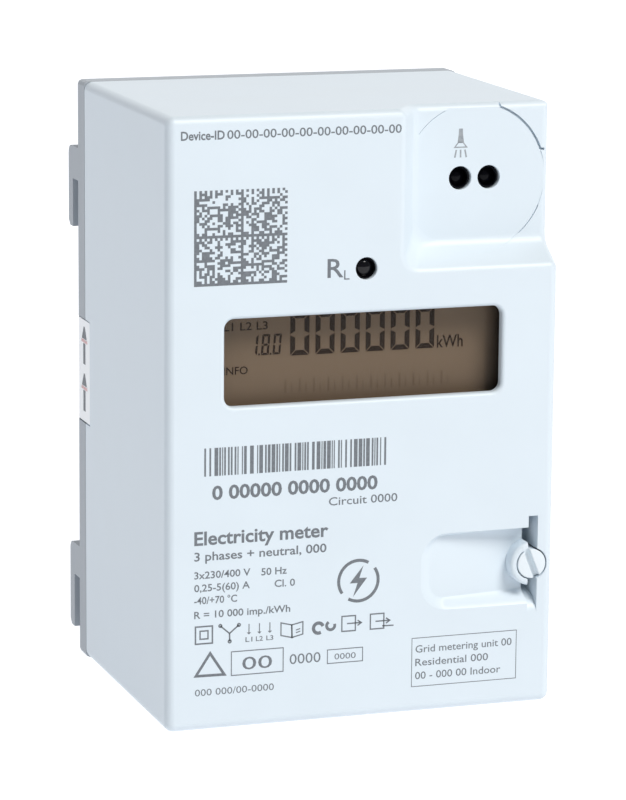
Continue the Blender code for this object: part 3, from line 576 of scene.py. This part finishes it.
def recess_cutter():
    """Ramped recess with sloping sides, less the collar that stands round the lock."""
    rings = [recess_ring(RECESS_EASE, -0.5)]
    steps = 14
    for step in range(steps + 1):
        part = step / steps
        offset = RECESS_EASE - (RECESS_EASE + RECESS_RUN) * part
        rings.append(recess_ring(offset, 0.6 * part + 0.2 * (1 - math.cos(math.pi * part))))
    recess = loft("recess_cutter", rings)
    ease, back = 0.8 * MM, FRONT + 8 * MM
    profile = [(0, FRONT)]
    for angle in quarter(4):
        profile.append((COLLAR_RADIUS - ease + ease * math.sin(angle), FRONT + ease * (1 - math.cos(angle))))
    profile += [(COLLAR_RADIUS, back), (0, back)]
    collar = turned("collar", profile, LOCK_X, LOCK_Z)
    return carve(recess, [collar])


def seal_slot_cutter():
    """Narrow upright slot past the lock, with a run-out at its lower end."""
    top, bottom, depth, run = 43.1 * MM, 20.9 * MM, 9 * MM, 4.5 * MM
    outline = [(FRONT - 1 * MM, top), (FRONT + depth, top)]
    for angle in reversed(quarter(8)):
        outline.append((FRONT + depth * (1 - math.cos(angle)), bottom + run * math.sin(angle)))
    outline.append((FRONT - 1 * MM, bottom))
    return prism_x("slot_cutter", outline, LOCK_X - SLOT_HALF, LOCK_X + SLOT_HALF + SLOT_EXTRA)


def bore_cutter():
    """Stepped bore that the lock spindle turns in."""
    head, shaft, shoulder = 3.6 * MM, 2.6 * MM, FRONT + 10.6 * MM
    ease = 0.15 * MM
    mouth = FRONT - 3 * MM
    profile = [(0, mouth), (head + ease, mouth), (head + ease, FRONT), (head, FRONT + ease)]
    profile += [(head, shoulder), (shaft, shoulder), (shaft, SEAM), (0, SEAM)]
    return turned("bore_cutter", profile, LOCK_X, LOCK_Z)


def cavity_cutters():
    """Inside of the cover in four steps, round the port, the lock and its tower."""
    bottom, top = WALL, HEIGHT - WALL
    lock_low, lock_high, lock_left = 19.0 * MM, 45.2 * MM, 12.0 * MM
    tower_low, tower_high, tower_left = LOCK_Z - 6.5 * MM, LOCK_Z + 6.5 * MM, 33.2 * MM
    tower_back = SEAM - 3.6 * MM
    port_inside = PORT_FLOOR + WALL
    lock_inside = FRONT + 11 * MM
    steps = [
        (0.3 * MM, True, lock_left, lock_low, lock_high, FRONT + WALL, port_inside),
        (0.2 * MM, False, lock_left, lock_low, lock_high, port_inside, lock_inside),
        (0.1 * MM, False, tower_left, tower_low, tower_high, lock_inside, tower_back),
        (0, False, None, 0, 0, tower_back, SEAM + 1 * MM),
    ]
    cutters = []
    for number, (draft, port, notch, low, high, front, back) in enumerate(steps):
        side = HALF_WIDTH - WALL - draft
        outline = [(-side, bottom + draft), (side, bottom + draft)]
        if notch is not None:
            outline += [(side, low), (notch, low), (notch, high), (side, high)]
        if port:
            outline += [(side, PORT_BOTTOM - WALL), (PORT_LEFT - WALL, PORT_BOTTOM - WALL)]
            outline.append((PORT_LEFT - WALL, top - draft))
        else:
            outline.append((side, top - draft))
        outline.append((-side, top - draft))
        start = front - (0.1 * MM if number else 0)
        cutters.append(prism_y(f"cavity_{number}", outline, start, back))
    return cutters


def sticker_pocket():
    """Shallow pocket in the cover under the seal sticker."""
    low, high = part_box("seal_sticker")
    gap = 0.3 * MM
    outline = rectangle(low.y - gap, base_high.y, low.z - gap, high.z + gap)
    return prism_x("sticker_pocket", outline, -HALF_WIDTH - 1 * MM, high.x + gap)


def make_cover():
    """Front cover with every edge eased, standing for the CAD cover."""
    outline = rectangle(-HALF_WIDTH, HALF_WIDTH, 0, HEIGHT)
    cover = prism_y("cover_shell", outline, FRONT, SEAM, shell_plastic)
    bevel_where(cover, ROUNDING, lambda a, b: not (near(a.y, SEAM) and near(b.y, SEAM)))
    board_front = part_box("display_board")[0].y
    posts = []
    holes = []
    for number in range(1, 5):
        middle = centre_of(f"display_screw_{number}")
        at_port = middle.x > PORT_LEFT and middle.z > PORT_BOTTOM
        root = (PORT_FLOOR if at_port else FRONT) + WALL / 2
        post_end = board_front - 0.3 * MM
        posts.append(cylinder(f"post_{number}", middle.x, middle.z, 2.5 * MM, root, post_end, 32))
        holes.append(cylinder(f"hole_{number}", middle.x, middle.z, 1.3 * MM, root + WALL, board_front, 24))
    carve(cover, cavity_cutters())
    carve(cover, holes, posts)
    features = [port_cutter(), seat_cutter(), *port_edge_cutters(), *seat_grooves(), display_cutter(),
                recess_cutter(), seal_slot_cutter(), bore_cutter(), sticker_pocket()]
    for number, middle in enumerate(lens_centres):
        features.append(eased_hole(f"eye_cutter_{number}", middle, EYE_RADIUS, SEAT_FLOOR, 0.15 * MM))
    features.append(eased_hole("lamp_cutter", lamp_centre, LAMP_HOLE_RADIUS, FRONT, 0.2 * MM))
    carve(cover, features)
    even_normals(cover)
    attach(cover, HOUSING)
    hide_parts("front_cover")
    return cover


make_cover()


# ---------------- CAD nodes that stay


def wear(material, *prefixes):
    """Give every shown CAD node whose name starts with a prefix its material."""
    for name, node in frame["nodes"].items():
        if name.startswith(prefixes):
            node.material_slots[0].link = "OBJECT"
            node.material_slots[0].material = material


def dress_nodes():
    """Materials of the nodes whose CAD shape is right."""
    wear(base_plastic, "base_plate")
    wear(dark_plastic, "connector_", "metering_chip", "processor_chip", "storage_capacitor")
    wear(dark_plastic, "lcd_frame", "ir_")
    wear(steel, "board_screw", "display_screw", "voltage_pin", "neutral_pin", "magnet_ring")
    wear(steel, "lock_washer", "lock_clip", "lock_tongue", "backup_battery")
    wear(copper_alloy, "phase_bar", "neutral_blade")
    wear(board_green, "display_board", "main_board")
    wear(blue_epoxy, "current_transformer", "varistor", "filter_capacitor")
    wear(red_gloss, "transformer_lead", "test_lamp")
    wear(milky_plastic, "light_guide", "test_lamp_spacer", "backlight_led")
    wear(tape_yellow, "power_transformer")
    wear(grey_rubber, "contact_strip")


def ease_edges(node_name, width):
    """Small rounding on the sharp edges of a CAD node."""
    node = frame["nodes"][node_name]
    node.data.shade_smooth()
    modifier = node.modifiers.new("eased_edges", "BEVEL")
    modifier.width = width
    modifier.segments = 3
    modifier.limit_method = "ANGLE"
    modifier.angle_limit = math.radians(50)
    modifier.harden_normals = True


dress_nodes()
for blade in ("phase_bar_1", "phase_bar_2", "phase_bar_3", "neutral_blade", "lock_tongue"):
    ease_edges(blade, 0.3 * MM)
ease_edges("base_plate", 0.25 * MM)


def add(piece, *nodes, slot, body=HOUSING):
    """Attach a finished piece to its body and hide the nodes it stands for; the slot argument is not used.
    """
    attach(piece, body)
    if nodes:
        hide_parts(*nodes)


# ---------------- flat marks


class Marks:
    """Collects flat shapes on one plane and thickens them into a closed skin."""

    def __init__(self, name, material, plane, thickness=0.03 * MM, side=False):
        self.name = name
        self.material = material
        self.plane = plane
        self.thickness = thickness
        self.side = side
        self.shape = bmesh.new()

    def face(self, points):
        """One flat polygon of (across, up) points."""
        if self.side:
            verts = [self.shape.verts.new((self.plane, across, up)) for across, up in points]
        else:
            verts = [self.shape.verts.new((across, self.plane, up)) for across, up in points]
        self.shape.faces.new(verts)

    def bar(self, left, right, bottom, top):
        """Filled rectangle."""
        self.face(rectangle(left, right, bottom, top))

    def stroke(self, points, width, closed=False):
        """Line of even width with mitred corners."""
        count = len(points)
        lefts, rights = path_sides(points, width, closed)
        spans = count if closed else count - 1
        for index in range(spans):
            following = (index + 1) % count
            self.face([lefts[index], rights[index], rights[following], lefts[following]])

    def ring(self, centre, radius, width, start=0, end=360, steps=24):
        """Circular line, whole or part."""
        points = arc(centre, radius, start, end, steps)
        whole = end - start == 360
        self.stroke(points[:-1] if whole else points, width, whole)

    def text(self, words, left, right, baseline, cap, weight=0.0):
        """Plain lettering stretched between left and right, with capitals of the given height."""
        curve = bpy.data.curves.new("lettering", "FONT")
        curve.body = words
        curve.resolution_u = 3
        curve.offset = weight
        holder = bpy.data.objects.new("lettering", curve)
        bpy.context.scene.collection.objects.link(holder)
        graph = bpy.context.evaluated_depsgraph_get()
        mesh = bpy.data.meshes.new_from_object(holder.evaluated_get(graph))
        bpy.data.objects.remove(holder, do_unlink=True)
        low = min(vert.co.x for vert in mesh.vertices)
        high = max(vert.co.x for vert in mesh.vertices)
        across = (right - left) / (high - low)
        up = cap / CAP_RATIO
        places = [(left + (vert.co.x - low) * across, baseline + vert.co.y * up) for vert in mesh.vertices]
        verts = [self.shape.verts.new((x, self.plane, z)) for x, z in places]
        for polygon in mesh.polygons:
            self.shape.faces.new([verts[index] for index in polygon.vertices])
        bpy.data.meshes.remove(mesh)

    def finish(self, slot):
        """Weld, thicken towards the object and hand over the piece."""
        shape = self.shape
        bmesh.ops.remove_doubles(shape, verts=shape.verts, dist=1e-7)
        bmesh.ops.dissolve_degenerate(shape, edges=shape.edges, dist=1e-7)
        grown = bmesh.ops.extrude_face_region(shape, geom=list(shape.faces))
        moved = [item for item in grown["geom"] if isinstance(item, bmesh.types.BMVert)]
        way = (self.thickness, 0, 0) if self.side else (0, self.thickness, 0)
        bmesh.ops.translate(shape, verts=moved, vec=way)
        piece = to_object(self.name, shape, self.material)
        add(piece, slot=slot)


# Height of a capital in the built-in typeface, for a size of one
CAP_RATIO = 0.729
LEFT_EDGE = -HALF_WIDTH


def across_front(value):
    """Place along X for a distance in millimetres from the left edge of the front."""
    return LEFT_EDGE + value * MM


def front_place(x, z):
    """Place of a point given in millimetres from the left edge and the bottom of the front."""
    return (across_front(x), z * MM)


def front_text(marks, words, left, right, baseline, cap, weight=0.0):
    """Lettering placed in millimetres from the left edge and the bottom of the front."""
    marks.text(words, across_front(left), across_front(right), baseline * MM, cap * MM, weight)


def front_bar(marks, left, right, bottom, top):
    """Bar placed in millimetres."""
    marks.bar(across_front(left), across_front(right), bottom * MM, top * MM)


def front_line(marks, points, width, closed=False):
    """Line placed in millimetres."""
    marks.stroke([front_place(x, z) for x, z in points], width * MM, closed)


def box_line(marks, left, right, bottom, top, width=0.2):
    """Rectangle drawn as a line, in millimetres."""
    front_line(marks, rectangle(left, right, bottom, top), width, closed=True)


def dot_matrix(marks, left, right, bottom, top):
    """Square dot code of random cells in four fields, each with a solid L and a broken edge."""
    fields, cells = 2, 18
    pitch_x = (right - left) / (fields * cells)
    pitch_z = (top - bottom) / (fields * cells)
    for field_column in range(fields):
        for field_row in range(fields):
            x0 = left + field_column * cells * pitch_x
            z0 = bottom + field_row * cells * pitch_z
            for row in range(cells):
                filled = []
                for column in range(cells):
                    solid = column == 0 or row == 0
                    broken = (column == cells - 1 and row % 2 == 0) or (row == cells - 1 and column % 2 == 0)
                    inside = 0 < column < cells - 1 and 0 < row < cells - 1 and random.random() < 0.48
                    filled.append(solid or broken or inside)
                column = 0
                while column < cells:
                    length = 0
                    while column + length < cells and filled[column + length]:
                        length += 1
                    if length:
                        front_bar(marks, x0 + column * pitch_x, x0 + (column + length) * pitch_x,
                                  z0 + row * pitch_z, z0 + (row + 1) * pitch_z)
                    column += max(length, 1)


def bar_code(marks, left, right, bottom, top):
    """Upright bars of random widths."""
    x = left
    while x < right - 1.2:
        width = random.choice((0.25, 0.4, 0.4, 0.6, 0.85))
        front_bar(marks, x, x + width, bottom, top)
        x += width + random.choice((0.22, 0.22, 0.25, 0.45, 0.75))
    front_bar(marks, right - 0.45, right, bottom, top)


def arrow(marks, x, top, bottom, head=0.5, width=0.22):
    """Down-pointing arrow."""
    front_line(marks, [(x, top), (x, bottom + head)], width)
    places = [(x - head, bottom + head), (x, bottom), (x + head, bottom + head)]
    marks.face([front_place(*place) for place in places])


def print_symbols(marks):
    """Row of plain technical symbols under the ratings."""
    box_line(marks, 6.6, 10.45, 19.75, 23.6, 0.34)
    box_line(marks, 7.65, 9.45, 20.8, 22.6, 0.32)
    front_line(marks, [(12.25, 23.45), (14.35, 21.6), (16.5, 23.35)], 0.32)
    front_line(marks, [(14.35, 21.6), (14.4, 19.8)], 0.32)
    for x, z in ((12.25, 23.45), (16.5, 23.35), (14.4, 19.8)):
        marks.ring(front_place(x, z), 0.32 * MM, 0.3 * MM, 0, 360, 10)
    for x, label in ((18.8, "L1"), (21.2, "L2"), (23.6, "L3")):
        arrow(marks, x, 23.4, 21.0)
        front_text(marks, label, x - 0.8, x + 0.8, 19.4, 1.1, 0.01)
    front_line(marks, [(26.15, 23.05), (28.65, 22.4), (28.7, 19.55), (26.15, 20.2)], 0.28, closed=True)
    front_line(marks, [(31.2, 22.95), (28.65, 22.4), (28.7, 19.55), (31.2, 20.15)], 0.28, closed=True)
    front_line(marks, [(29.6, 21.15), (30.6, 21.45)], 0.24)
    front_line(marks, [(29.6, 20.55), (30.6, 20.85)], 0.24)
    marks.ring(front_place(34.8, 21.2), 1.15 * MM, 0.75 * MM, 20, 300, 14)
    marks.ring(front_place(37.65, 21.55), 0.95 * MM, 0.65 * MM, 120, 380, 14)
    for left, right in ((40.25, 43.4), (46.9, 50.05)):
        box_line(marks, left, right, 20.0, 23.4, 0.30)
        front_line(marks, [(left + 1.2, 21.7), (right + 1.2, 21.7)], 0.30)
        front_line(marks, [(right + 0.5, 22.3), (right + 1.4, 21.7), (right + 0.5, 21.1)], 0.30)
    front_line(marks, [(49.7, 20.55), (52.35, 20.5)], 0.30)


def print_emblem(marks):
    """Plain emblem: a bolt in a broken ring."""
    centre = front_place(44.0, 31.25)
    marks.ring(centre, 4.6 * MM, 0.7 * MM, 60, 215, 18)
    marks.ring(centre, 4.6 * MM, 0.7 * MM, 240, 395, 18)
    bolt = [(45.15, 34.65), (42.0, 30.75), (43.8, 30.75), (42.8, 27.7), (46.0, 31.8), (44.2, 31.85)]
    marks.face([front_place(*point) for point in bolt])


def print_front():
    """All the grey print on the front of the cover."""
    marks = Marks("front_print", ink, FRONT - 0.02 * MM)
    front_text(marks, "Device-ID", 3.15, 12.85, 130.0, 1.95, 0.022)
    front_text(marks, "00-00-00-00-00-00-00-00-00-00", 13.4, 52.75, 130.0, 1.95, 0.008)
    dot_matrix(marks, 6.1, 27.0, 98.5, 119.1)
    front_text(marks, "R", 36.15, 39.8, 99.1, 4.3, 0.008)
    front_text(marks, "L", 39.95, 41.2, 98.5, 2.2)
    bar_code(marks, 8.5, 50.1, 56.95, 63.15)
    front_text(marks, "0 00000 0000 0000", 10.3, 48.2, 51.75, 3.1, 0.026)
    front_text(marks, "Circuit 0000", 36.95, 52.85, 48.65, 1.9, 0.006)
    front_text(marks, "Electricity meter", 6.3, 36.9, 41.8, 3.1, 0.022)
    front_text(marks, "3 phases + neutral, 000", 6.3, 36.5, 38.3, 2.0, 0.013)
    ratings = [
        ("3x230/400 V", 6.3, 19.05, 34.3),
        ("50 Hz", 21.55, 27.4, 34.1),
        ("0,25-5(60) A", 6.3, 18.95, 31.45),
        ("Cl. 0", 24.6, 29.3, 31.25),
        ("-40/+70 \u00b0C", 6.3, 16.05, 28.65),
        ("R = 10 000 imp./kWh", 6.3, 28.25, 25.45),
    ]
    for words, left, right, baseline in ratings:
        front_text(marks, words, left, right, baseline, 1.65, 0.013)
    print_symbols(marks)
    print_emblem(marks)
    front_line(marks, [(6.7, 12.55), (9.95, 17.45), (13.2, 12.45)], 0.6, closed=True)
    box_line(marks, 14.8, 26.7, 12.05, 17.4, 0.22)
    front_text(marks, "00", 17.3, 24.15, 13.15, 3.0)
    front_text(marks, "0000", 28.2, 35.35, 13.5, 2.4)
    box_line(marks, 36.95, 45.15, 12.95, 16.05)
    front_text(marks, "0000", 38.6, 43.55, 13.75, 1.4)
    front_text(marks, "000 000/00-0000", 6.5, 24.6, 8.0, 1.6)
    box_line(marks, 56.75, 81.6, 6.0, 17.1, 0.16)
    lines = [("Grid metering unit 00", 80.5), ("Residential 000", 74.9), ("00 - 000 00 Indoor", 77.9)]
    for row, (words, end) in enumerate(lines):
        front_text(marks, words, 57.6, end, 13.75 - row * 3.05, 1.75, 0.004)
    marks.finish("print")


def print_port():
    """Torch symbol above the left eye, in the seat of the port."""
    pale_ink, tree, shader = new_material("pale_ink", (0.30, 0.33, 0.36), 0.5)
    grain = noise(tree, 1500, 3)
    paint(tree, shader, grain, 0.3, 0.7, ((0.26, 0.29, 0.32), (0.36, 0.39, 0.42)))
    marks = Marks("port_print", pale_ink, SEAT_FLOOR - 0.02 * MM)
    x, top = lens_centres[0].x, SEAT_Z + 10.9 * MM
    handle = [(-0.45, 0), (0.45, 0), (0.5, -1.3), (0.75, -3.0), (-0.75, -3.0), (-0.5, -1.3)]
    marks.face([(x + px * MM, top + pz * MM) for px, pz in handle])
    head = [(-0.55, -3.05), (0.55, -3.05), (1.4, -4.1), (-1.4, -4.1)]
    marks.stroke([(x + px * MM, top + pz * MM) for px, pz in head], 0.26 * MM, True)
    for way in (-1, 0, 1):
        start = (x + way * 1.0 * MM, top - 4.65 * MM)
        end = (x + way * 1.35 * MM, top - 6.35 * MM)
        marks.stroke([start, end], 0.36 * MM)
    marks.finish("print")


print_front()
print_port()


# ---------------- display


lcd_low, lcd_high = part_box("lcd_glass")


def lcd_material(name, colour, roughness):
    """Brown polariser film with faint upright banding and dust."""
    material, tree, shader = new_material(name, colour, roughness)
    bands = noise(tree, 60, 3, (9, 1, 0.6))
    paint(tree, shader, bands, 0.3, 0.75, (tinted(colour, 0.93), tinted(colour, 1.06)))
    shader.inputs["Specular IOR Level"].default_value = 0.25
    return material


def seven_segment(marks, digit, left, bottom, width, height, stroke, lean=0.0):
    """One seven-segment digit, built from tapered bars with gaps between them."""
    half = height / 2
    gap = stroke * 0.12
    cut = stroke * 0.5

    def flat(z0, inner):
        """Level bar whose inner side is shorter."""
        z1 = z0 + inner * stroke
        return [(gap, z0), (width - gap, z0), (width - gap - stroke, z1), (gap + stroke, z1)]

    def upright(x0, inner, z0, z1, low_mitre, high_mitre):
        """Standing bar, mitred where it meets a level bar."""
        x1 = x0 + inner * stroke
        return [(x0, z0 + gap), (x0, z1 - gap), (x1, z1 - gap - high_mitre), (x1, z0 + gap + low_mitre)]

    bars = {
        "a": flat(height, -1),
        "d": flat(0, 1),
        "g": [(gap + cut, half), (gap + stroke, half + cut), (width - gap - stroke, half + cut),
              (width - gap - cut, half), (width - gap - stroke, half - cut), (gap + stroke, half - cut)],
        "f": upright(0, 1, half, height, cut, stroke),
        "e": upright(0, 1, 0, half, stroke, cut),
        "b": upright(width, -1, half, height, cut, stroke),
        "c": upright(width, -1, 0, half, stroke, cut),
    }
    lit = {"0": "abcdef", "1": "bc", "8": "abcdefg"}[digit]
    for key in lit:
        marks.face([(left + x + lean * z, bottom + z) for x, z in bars[key]])


def paint_shade_at_end(material, start, end):
    """Fade the material's colour to black between two places along the object's X axis: painted shade where
    the display frame shadows the end of the film.
    """
    tree = material.node_tree
    shader = tree.nodes["Principled BSDF"]
    place = tree.nodes.new("ShaderNodeTexCoord")
    parts = tree.nodes.new("ShaderNodeSeparateXYZ")
    fade = tree.nodes.new("ShaderNodeMapRange")
    fade.inputs["From Min"].default_value = start
    fade.inputs["From Max"].default_value = end
    tree.links.new(place.outputs["Object"], parts.inputs["Vector"])
    tree.links.new(parts.outputs["X"], fade.inputs["Value"])
    colour = tuple(shader.inputs["Base Color"].default_value)[:3]
    paint(tree, shader, fade.outputs["Result"], 0.0, 1.0, (colour, (0.004, 0.003, 0.003)))


def make_display():
    """Window pane, LCD with its figures, and the black mask round it."""
    pane_low, pane_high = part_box("display_window")
    glass, tree, shader = new_material("window_glass", (0.03, 0.025, 0.02), 0.04)
    shader.inputs["Alpha"].default_value = 0.10
    shader.inputs["IOR"].default_value = 1.45
    haze = noise(tree, 220, 2)
    vary_roughness(tree, shader, haze, 0.03, 0.09)
    outline = rounded_rectangle(pane_low.x, pane_high.x, pane_low.z, pane_high.z, 1.5 * MM)
    pane = prism_y("window_pane", outline, pane_low.y, pane_high.y, glass)
    add(smooth(pane), "display_window", slot="window")

    brown = lcd_material("lcd_film", (0.238, 0.168, 0.110), 0.4)
    outline = rounded_rectangle(lcd_low.x, lcd_high.x, lcd_low.z, lcd_high.z, 0.6 * MM)
    # Painted shade: the film darkens to black towards its right end, standing in for the frame's shadow on
    # it.
    paint_shade_at_end(brown, 29.8 * MM, 34.0 * MM)
    panel = prism_y("lcd_panel", outline, lcd_low.y, lcd_high.y, brown)
    add(smooth(panel), "lcd_glass", slot="lcd")

    mask_outer = rectangle(lcd_low.x, lcd_high.x, lcd_low.z, lcd_high.z)
    mask = prism_y("lcd_mask", mask_outer, pane_high.y + 0.3 * MM, lcd_low.y - 0.2 * MM, dark_plastic)
    near_edge = rectangle(lcd_low.x + 0.4 * MM, 34.6 * MM, lcd_low.z + 0.8 * MM, lcd_high.z - 0.8 * MM)
    far_edge = rectangle(lcd_low.x + 0.4 * MM, 34.4 * MM, lcd_low.z + 0.8 * MM, lcd_high.z - 0.8 * MM)
    tool = loft("mask_cutter", [along_y(near_edge, pane_high.y), along_y(far_edge, lcd_low.y)])
    carve(mask, [tool])
    add(mask, slot="dark_plastic")

    dark = lcd_material("lcd_segment", (0.022, 0.010, 0.004), 0.5)
    figures = Marks("lcd_figures", dark, lcd_low.y - 0.05 * MM, 0.04 * MM)
    for index in range(6):
        left = LEFT_EDGE + (29.85 + 5.8 * index) * MM
        seven_segment(figures, "0", left, 81.2 * MM, 4.4 * MM, 9.3 * MM, 1.15 * MM)
    for index, digit in enumerate("180"):
        left = LEFT_EDGE + (20.5 + 2.65 * index) * MM
        seven_segment(figures, digit, left, 81.65 * MM, 1.8 * MM, 4.6 * MM, 0.5 * MM, 0.08)
        if index < 2:
            dot = left + 2.05 * MM
            figures.bar(dot, dot + 0.42 * MM, 81.65 * MM, 82.07 * MM)
    front_text(figures, "L1 L2 L3", 14.7, 24.7, 87.35, 1.85, 0.008)
    front_text(figures, "kWh", 63.9, 70.0, 81.2, 2.9, 0.010)
    front_text(figures, "INFO", 14.7, 20.2, 77.7, 1.8, 0.008)
    figures.finish("lcd")

    faint = lcd_material("lcd_ghost", (0.195, 0.138, 0.090), 0.45)
    ghosts = Marks("lcd_ghosts", faint, lcd_low.y - 0.03 * MM, 0.02 * MM)
    for index in range(12):
        left = LEFT_EDGE + (28.6 + 3.3 * index) * MM
        ghosts.bar(left, left + 0.45 * MM, 72.9 * MM, 76.1 * MM)
        ghosts.bar(left + 1.5 * MM, left + 1.85 * MM, 72.9 * MM, 74.9 * MM)
    ghosts.finish("lcd")


make_display()


# ---------------- lenses, lock and sticker


# How far a lens dome's edge leans
LENS_TILT = math.radians(40)


def make_lens(name, node, radius, depth, rim, material):
    """Black lens: a dome set back inside a thin rim, with a flange behind the wall."""
    low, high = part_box(node)
    middle = (low + high) / 2
    flange = (high.x - low.x) / 2
    flange_front = high.y - 0.6 * MM
    inside = radius - rim
    curve = inside / math.sin(LENS_TILT)
    rim_back = low.y + 0.3 * MM
    profile = []
    for step in range(11):
        angle = LENS_TILT * step / 10
        profile.append((curve * math.sin(angle), low.y + depth + curve * (1 - math.cos(angle))))
    profile += [(inside, rim_back), (radius - rim / 2, low.y + 0.1 * MM), (radius, rim_back)]
    profile += [(radius, flange_front), (flange, flange_front), (flange, high.y), (0, high.y)]
    lens = turned(name, profile, middle.x, middle.z, material)
    add(lens, node, slot="black_lens")


def make_spindle():
    """Lock spindle: eased head with a driver slot and a hole for the seal wire."""
    low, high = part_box("lock_spindle")
    head, shaft, ease = 3.3 * MM, 2.3 * MM, 0.25 * MM
    head_back = FRONT + 9.5 * MM
    clip_low, clip_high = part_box("lock_clip")
    groove = (clip_low.y - 0.3 * MM, clip_high.y + 0.3 * MM)
    profile = [(0, low.y)]
    profile += [(head - ease + ease * math.sin(a), low.y + ease * (1 - math.cos(a))) for a in quarter(5)]
    profile += [(head, head_back), (shaft, head_back), (shaft, groove[0]), (1.6 * MM, groove[0])]
    profile += [(1.6 * MM, groove[1]), (shaft, groove[1]), (shaft, high.y - 0.3 * MM)]
    profile += [(shaft - 0.3 * MM, high.y), (0, high.y)]
    spindle = turned("spindle", profile, 0, 0, lock_plastic)
    half, depth = 0.72 * MM, 1.5 * MM
    floor, curve = FRONT + depth * 0.6, depth * 0.4
    section = [(-half - 0.15 * MM, FRONT - 1 * MM), (half + 0.15 * MM, FRONT - 1 * MM)]
    section += [(half + 0.15 * MM, FRONT - 0.02 * MM), (half, FRONT + 0.15 * MM)]
    section += [(half * math.cos(a), floor + curve * math.sin(a)) for a in quarter(6)]
    section += [(-half * math.sin(a), floor + curve * math.cos(a)) for a in quarter(6)[1:]]
    section += [(-half, FRONT + 0.15 * MM), (-half - 0.15 * MM, FRONT - 0.02 * MM)]
    slot = loft("driver_slot", [[(x, y, z) for x, y in section] for z in (-5 * MM, 5 * MM)])
    wire = cylinder("wire_hole", 0, 0, 0.8 * MM, -6 * MM, 6 * MM, sides=32)
    stand = Matrix.Translation((0, FRONT + 4 * MM, 0)) @ Matrix.Rotation(math.radians(90), 4, "X")
    wire.data.transform(stand)
    carve(spindle, [slot, wire])
    turn = Matrix.Translation((LOCK_X, 0, LOCK_Z)) @ Matrix.Rotation(-LOCK_TILT, 4, "Y")
    spindle.data.transform(turn)
    even_normals(spindle)
    add(spindle, "lock_spindle", body=LOCK, slot="lock_plastic")


def make_sticker():
    """Seal sticker with two small plain arrow marks."""
    low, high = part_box("seal_sticker")
    paper = moulded("sticker_foil", (0.93, 0.96, 0.99), 0.35, 900, 0.05)
    outline = rounded_rectangle(low.y, high.y, low.z, high.z, 0.5 * MM)
    sticker = prism_x("sticker", outline, low.x, high.x, paper)
    add(smooth(sticker), "seal_sticker", slot="sticker")
    dark = Marks("sticker_marks", ink, low.x - 0.02 * MM, side=True)
    red = Marks("sticker_red_marks", red_gloss, low.x - 0.02 * MM, side=True)
    middle = (low.y + high.y) / 2
    for foot in (low.z + 2.4 * MM, low.z + 13.4 * MM):
        dark.bar(middle - 0.9 * MM, middle + 0.9 * MM, foot, foot + 4.9 * MM)
        dark.face([(middle - 2.1 * MM, foot + 5.9 * MM), (middle + 2.1 * MM, foot + 5.9 * MM),
                   (middle + 0.5 * MM, foot + 8.8 * MM), (middle - 0.5 * MM, foot + 8.8 * MM)])
        red.bar(middle - 2.4 * MM, middle + 2.4 * MM, foot + 5.05 * MM, foot + 5.75 * MM)
    dark.finish("print")
    red.finish("print")


make_lens("left_eye", "optical_lens_left", 2.35 * MM, 1.3 * MM, 0.35 * MM, black_deep)
make_lens("right_eye", "optical_lens_right", 2.35 * MM, 1.3 * MM, 0.35 * MM, black_deep)
make_lens("lamp_lens", "test_lamp_lens", 2.3 * MM, 0.3 * MM, 0.25 * MM, black_gloss)
make_spindle()
make_sticker()


# ---------------- stage


def make_floor():
    """Pale floor that curves up behind the object, glowing so that no shadow shows on it."""
    half, front, back, rise, bend = 3.0, -3.0, 1.6, 2.2, 0.8
    profile = [(front, 0.0), (back - bend, 0.0)]
    for angle in quarter(12):
        profile.append((back - bend + bend * math.sin(angle), bend * (1 - math.cos(angle))))
    profile.append((back, rise))
    shape = bmesh.new()
    left = [shape.verts.new((-half, y, z)) for y, z in profile]
    right = [shape.verts.new((half, y, z)) for y, z in profile]
    for index in range(len(profile) - 1):
        shape.faces.new((left[index], right[index], right[index + 1], left[index + 1]))
    material, _, shader = new_material("floor_white", (0.12, 0.12, 0.12), 0.9)
    shader.inputs["Emission Color"].default_value = (1.0, 1.01, 1.04, 1)
    shader.inputs["Emission Strength"].default_value = 1.0
    floor = smooth(to_object("floor", shape, material))


def make_light():
    """Faint even light, and one large soft lamp above the front right."""
    world = bpy.data.worlds.new("studio")
    world.use_nodes = True
    background = world.node_tree.nodes["Background"]
    background.inputs["Color"].default_value = (0.95, 0.97, 1.0, 1)
    background.inputs["Strength"].default_value = 0.15
    bpy.context.scene.world = world
    bpy.context.scene.view_settings.view_transform = "Standard"
    place, target = Vector((0.87, -1.62, 2.15)), Vector((0, 0, 0.07))
    data = bpy.data.lights.new("key", "AREA")
    data.shape = "RECTANGLE"
    data.size = data.size_y = 1.2
    data.energy = 69.0
    data.color = (1.0, 0.98, 0.945)
    lamp = bpy.data.objects.new("key", data)
    bpy.context.scene.collection.objects.link(lamp)
    lamp.location = place
    lamp.rotation_euler = (target - place).to_track_quat("-Z", "Y").to_euler()


def make_camera():
    """Camera to the left of the front and a little above, as a long lens sees it."""
    azimuth, elevation, roll = math.radians(18.83), math.radians(11.59), math.radians(0.49)
    distance, lens = 0.8207, 170.5
    target = Vector((-0.0119, FRONT, 0.0724))
    back = Vector((-math.sin(azimuth) * math.cos(elevation), -math.cos(azimuth) * math.cos(elevation),
                   math.sin(elevation)))
    data = bpy.data.cameras.new("camera")
    data.lens = lens
    data.sensor_width = 36
    data.sensor_fit = "AUTO"
    camera = bpy.data.objects.new("camera", data)
    bpy.context.scene.collection.objects.link(camera)
    aim = back.to_track_quat("Z", "Y").to_matrix().to_4x4()
    camera.matrix_world = Matrix.Translation(target + back * distance) @ aim @ Matrix.Rotation(roll, 4, "Z")
    bpy.context.scene.camera = camera


make_floor()
make_light()
make_camera()
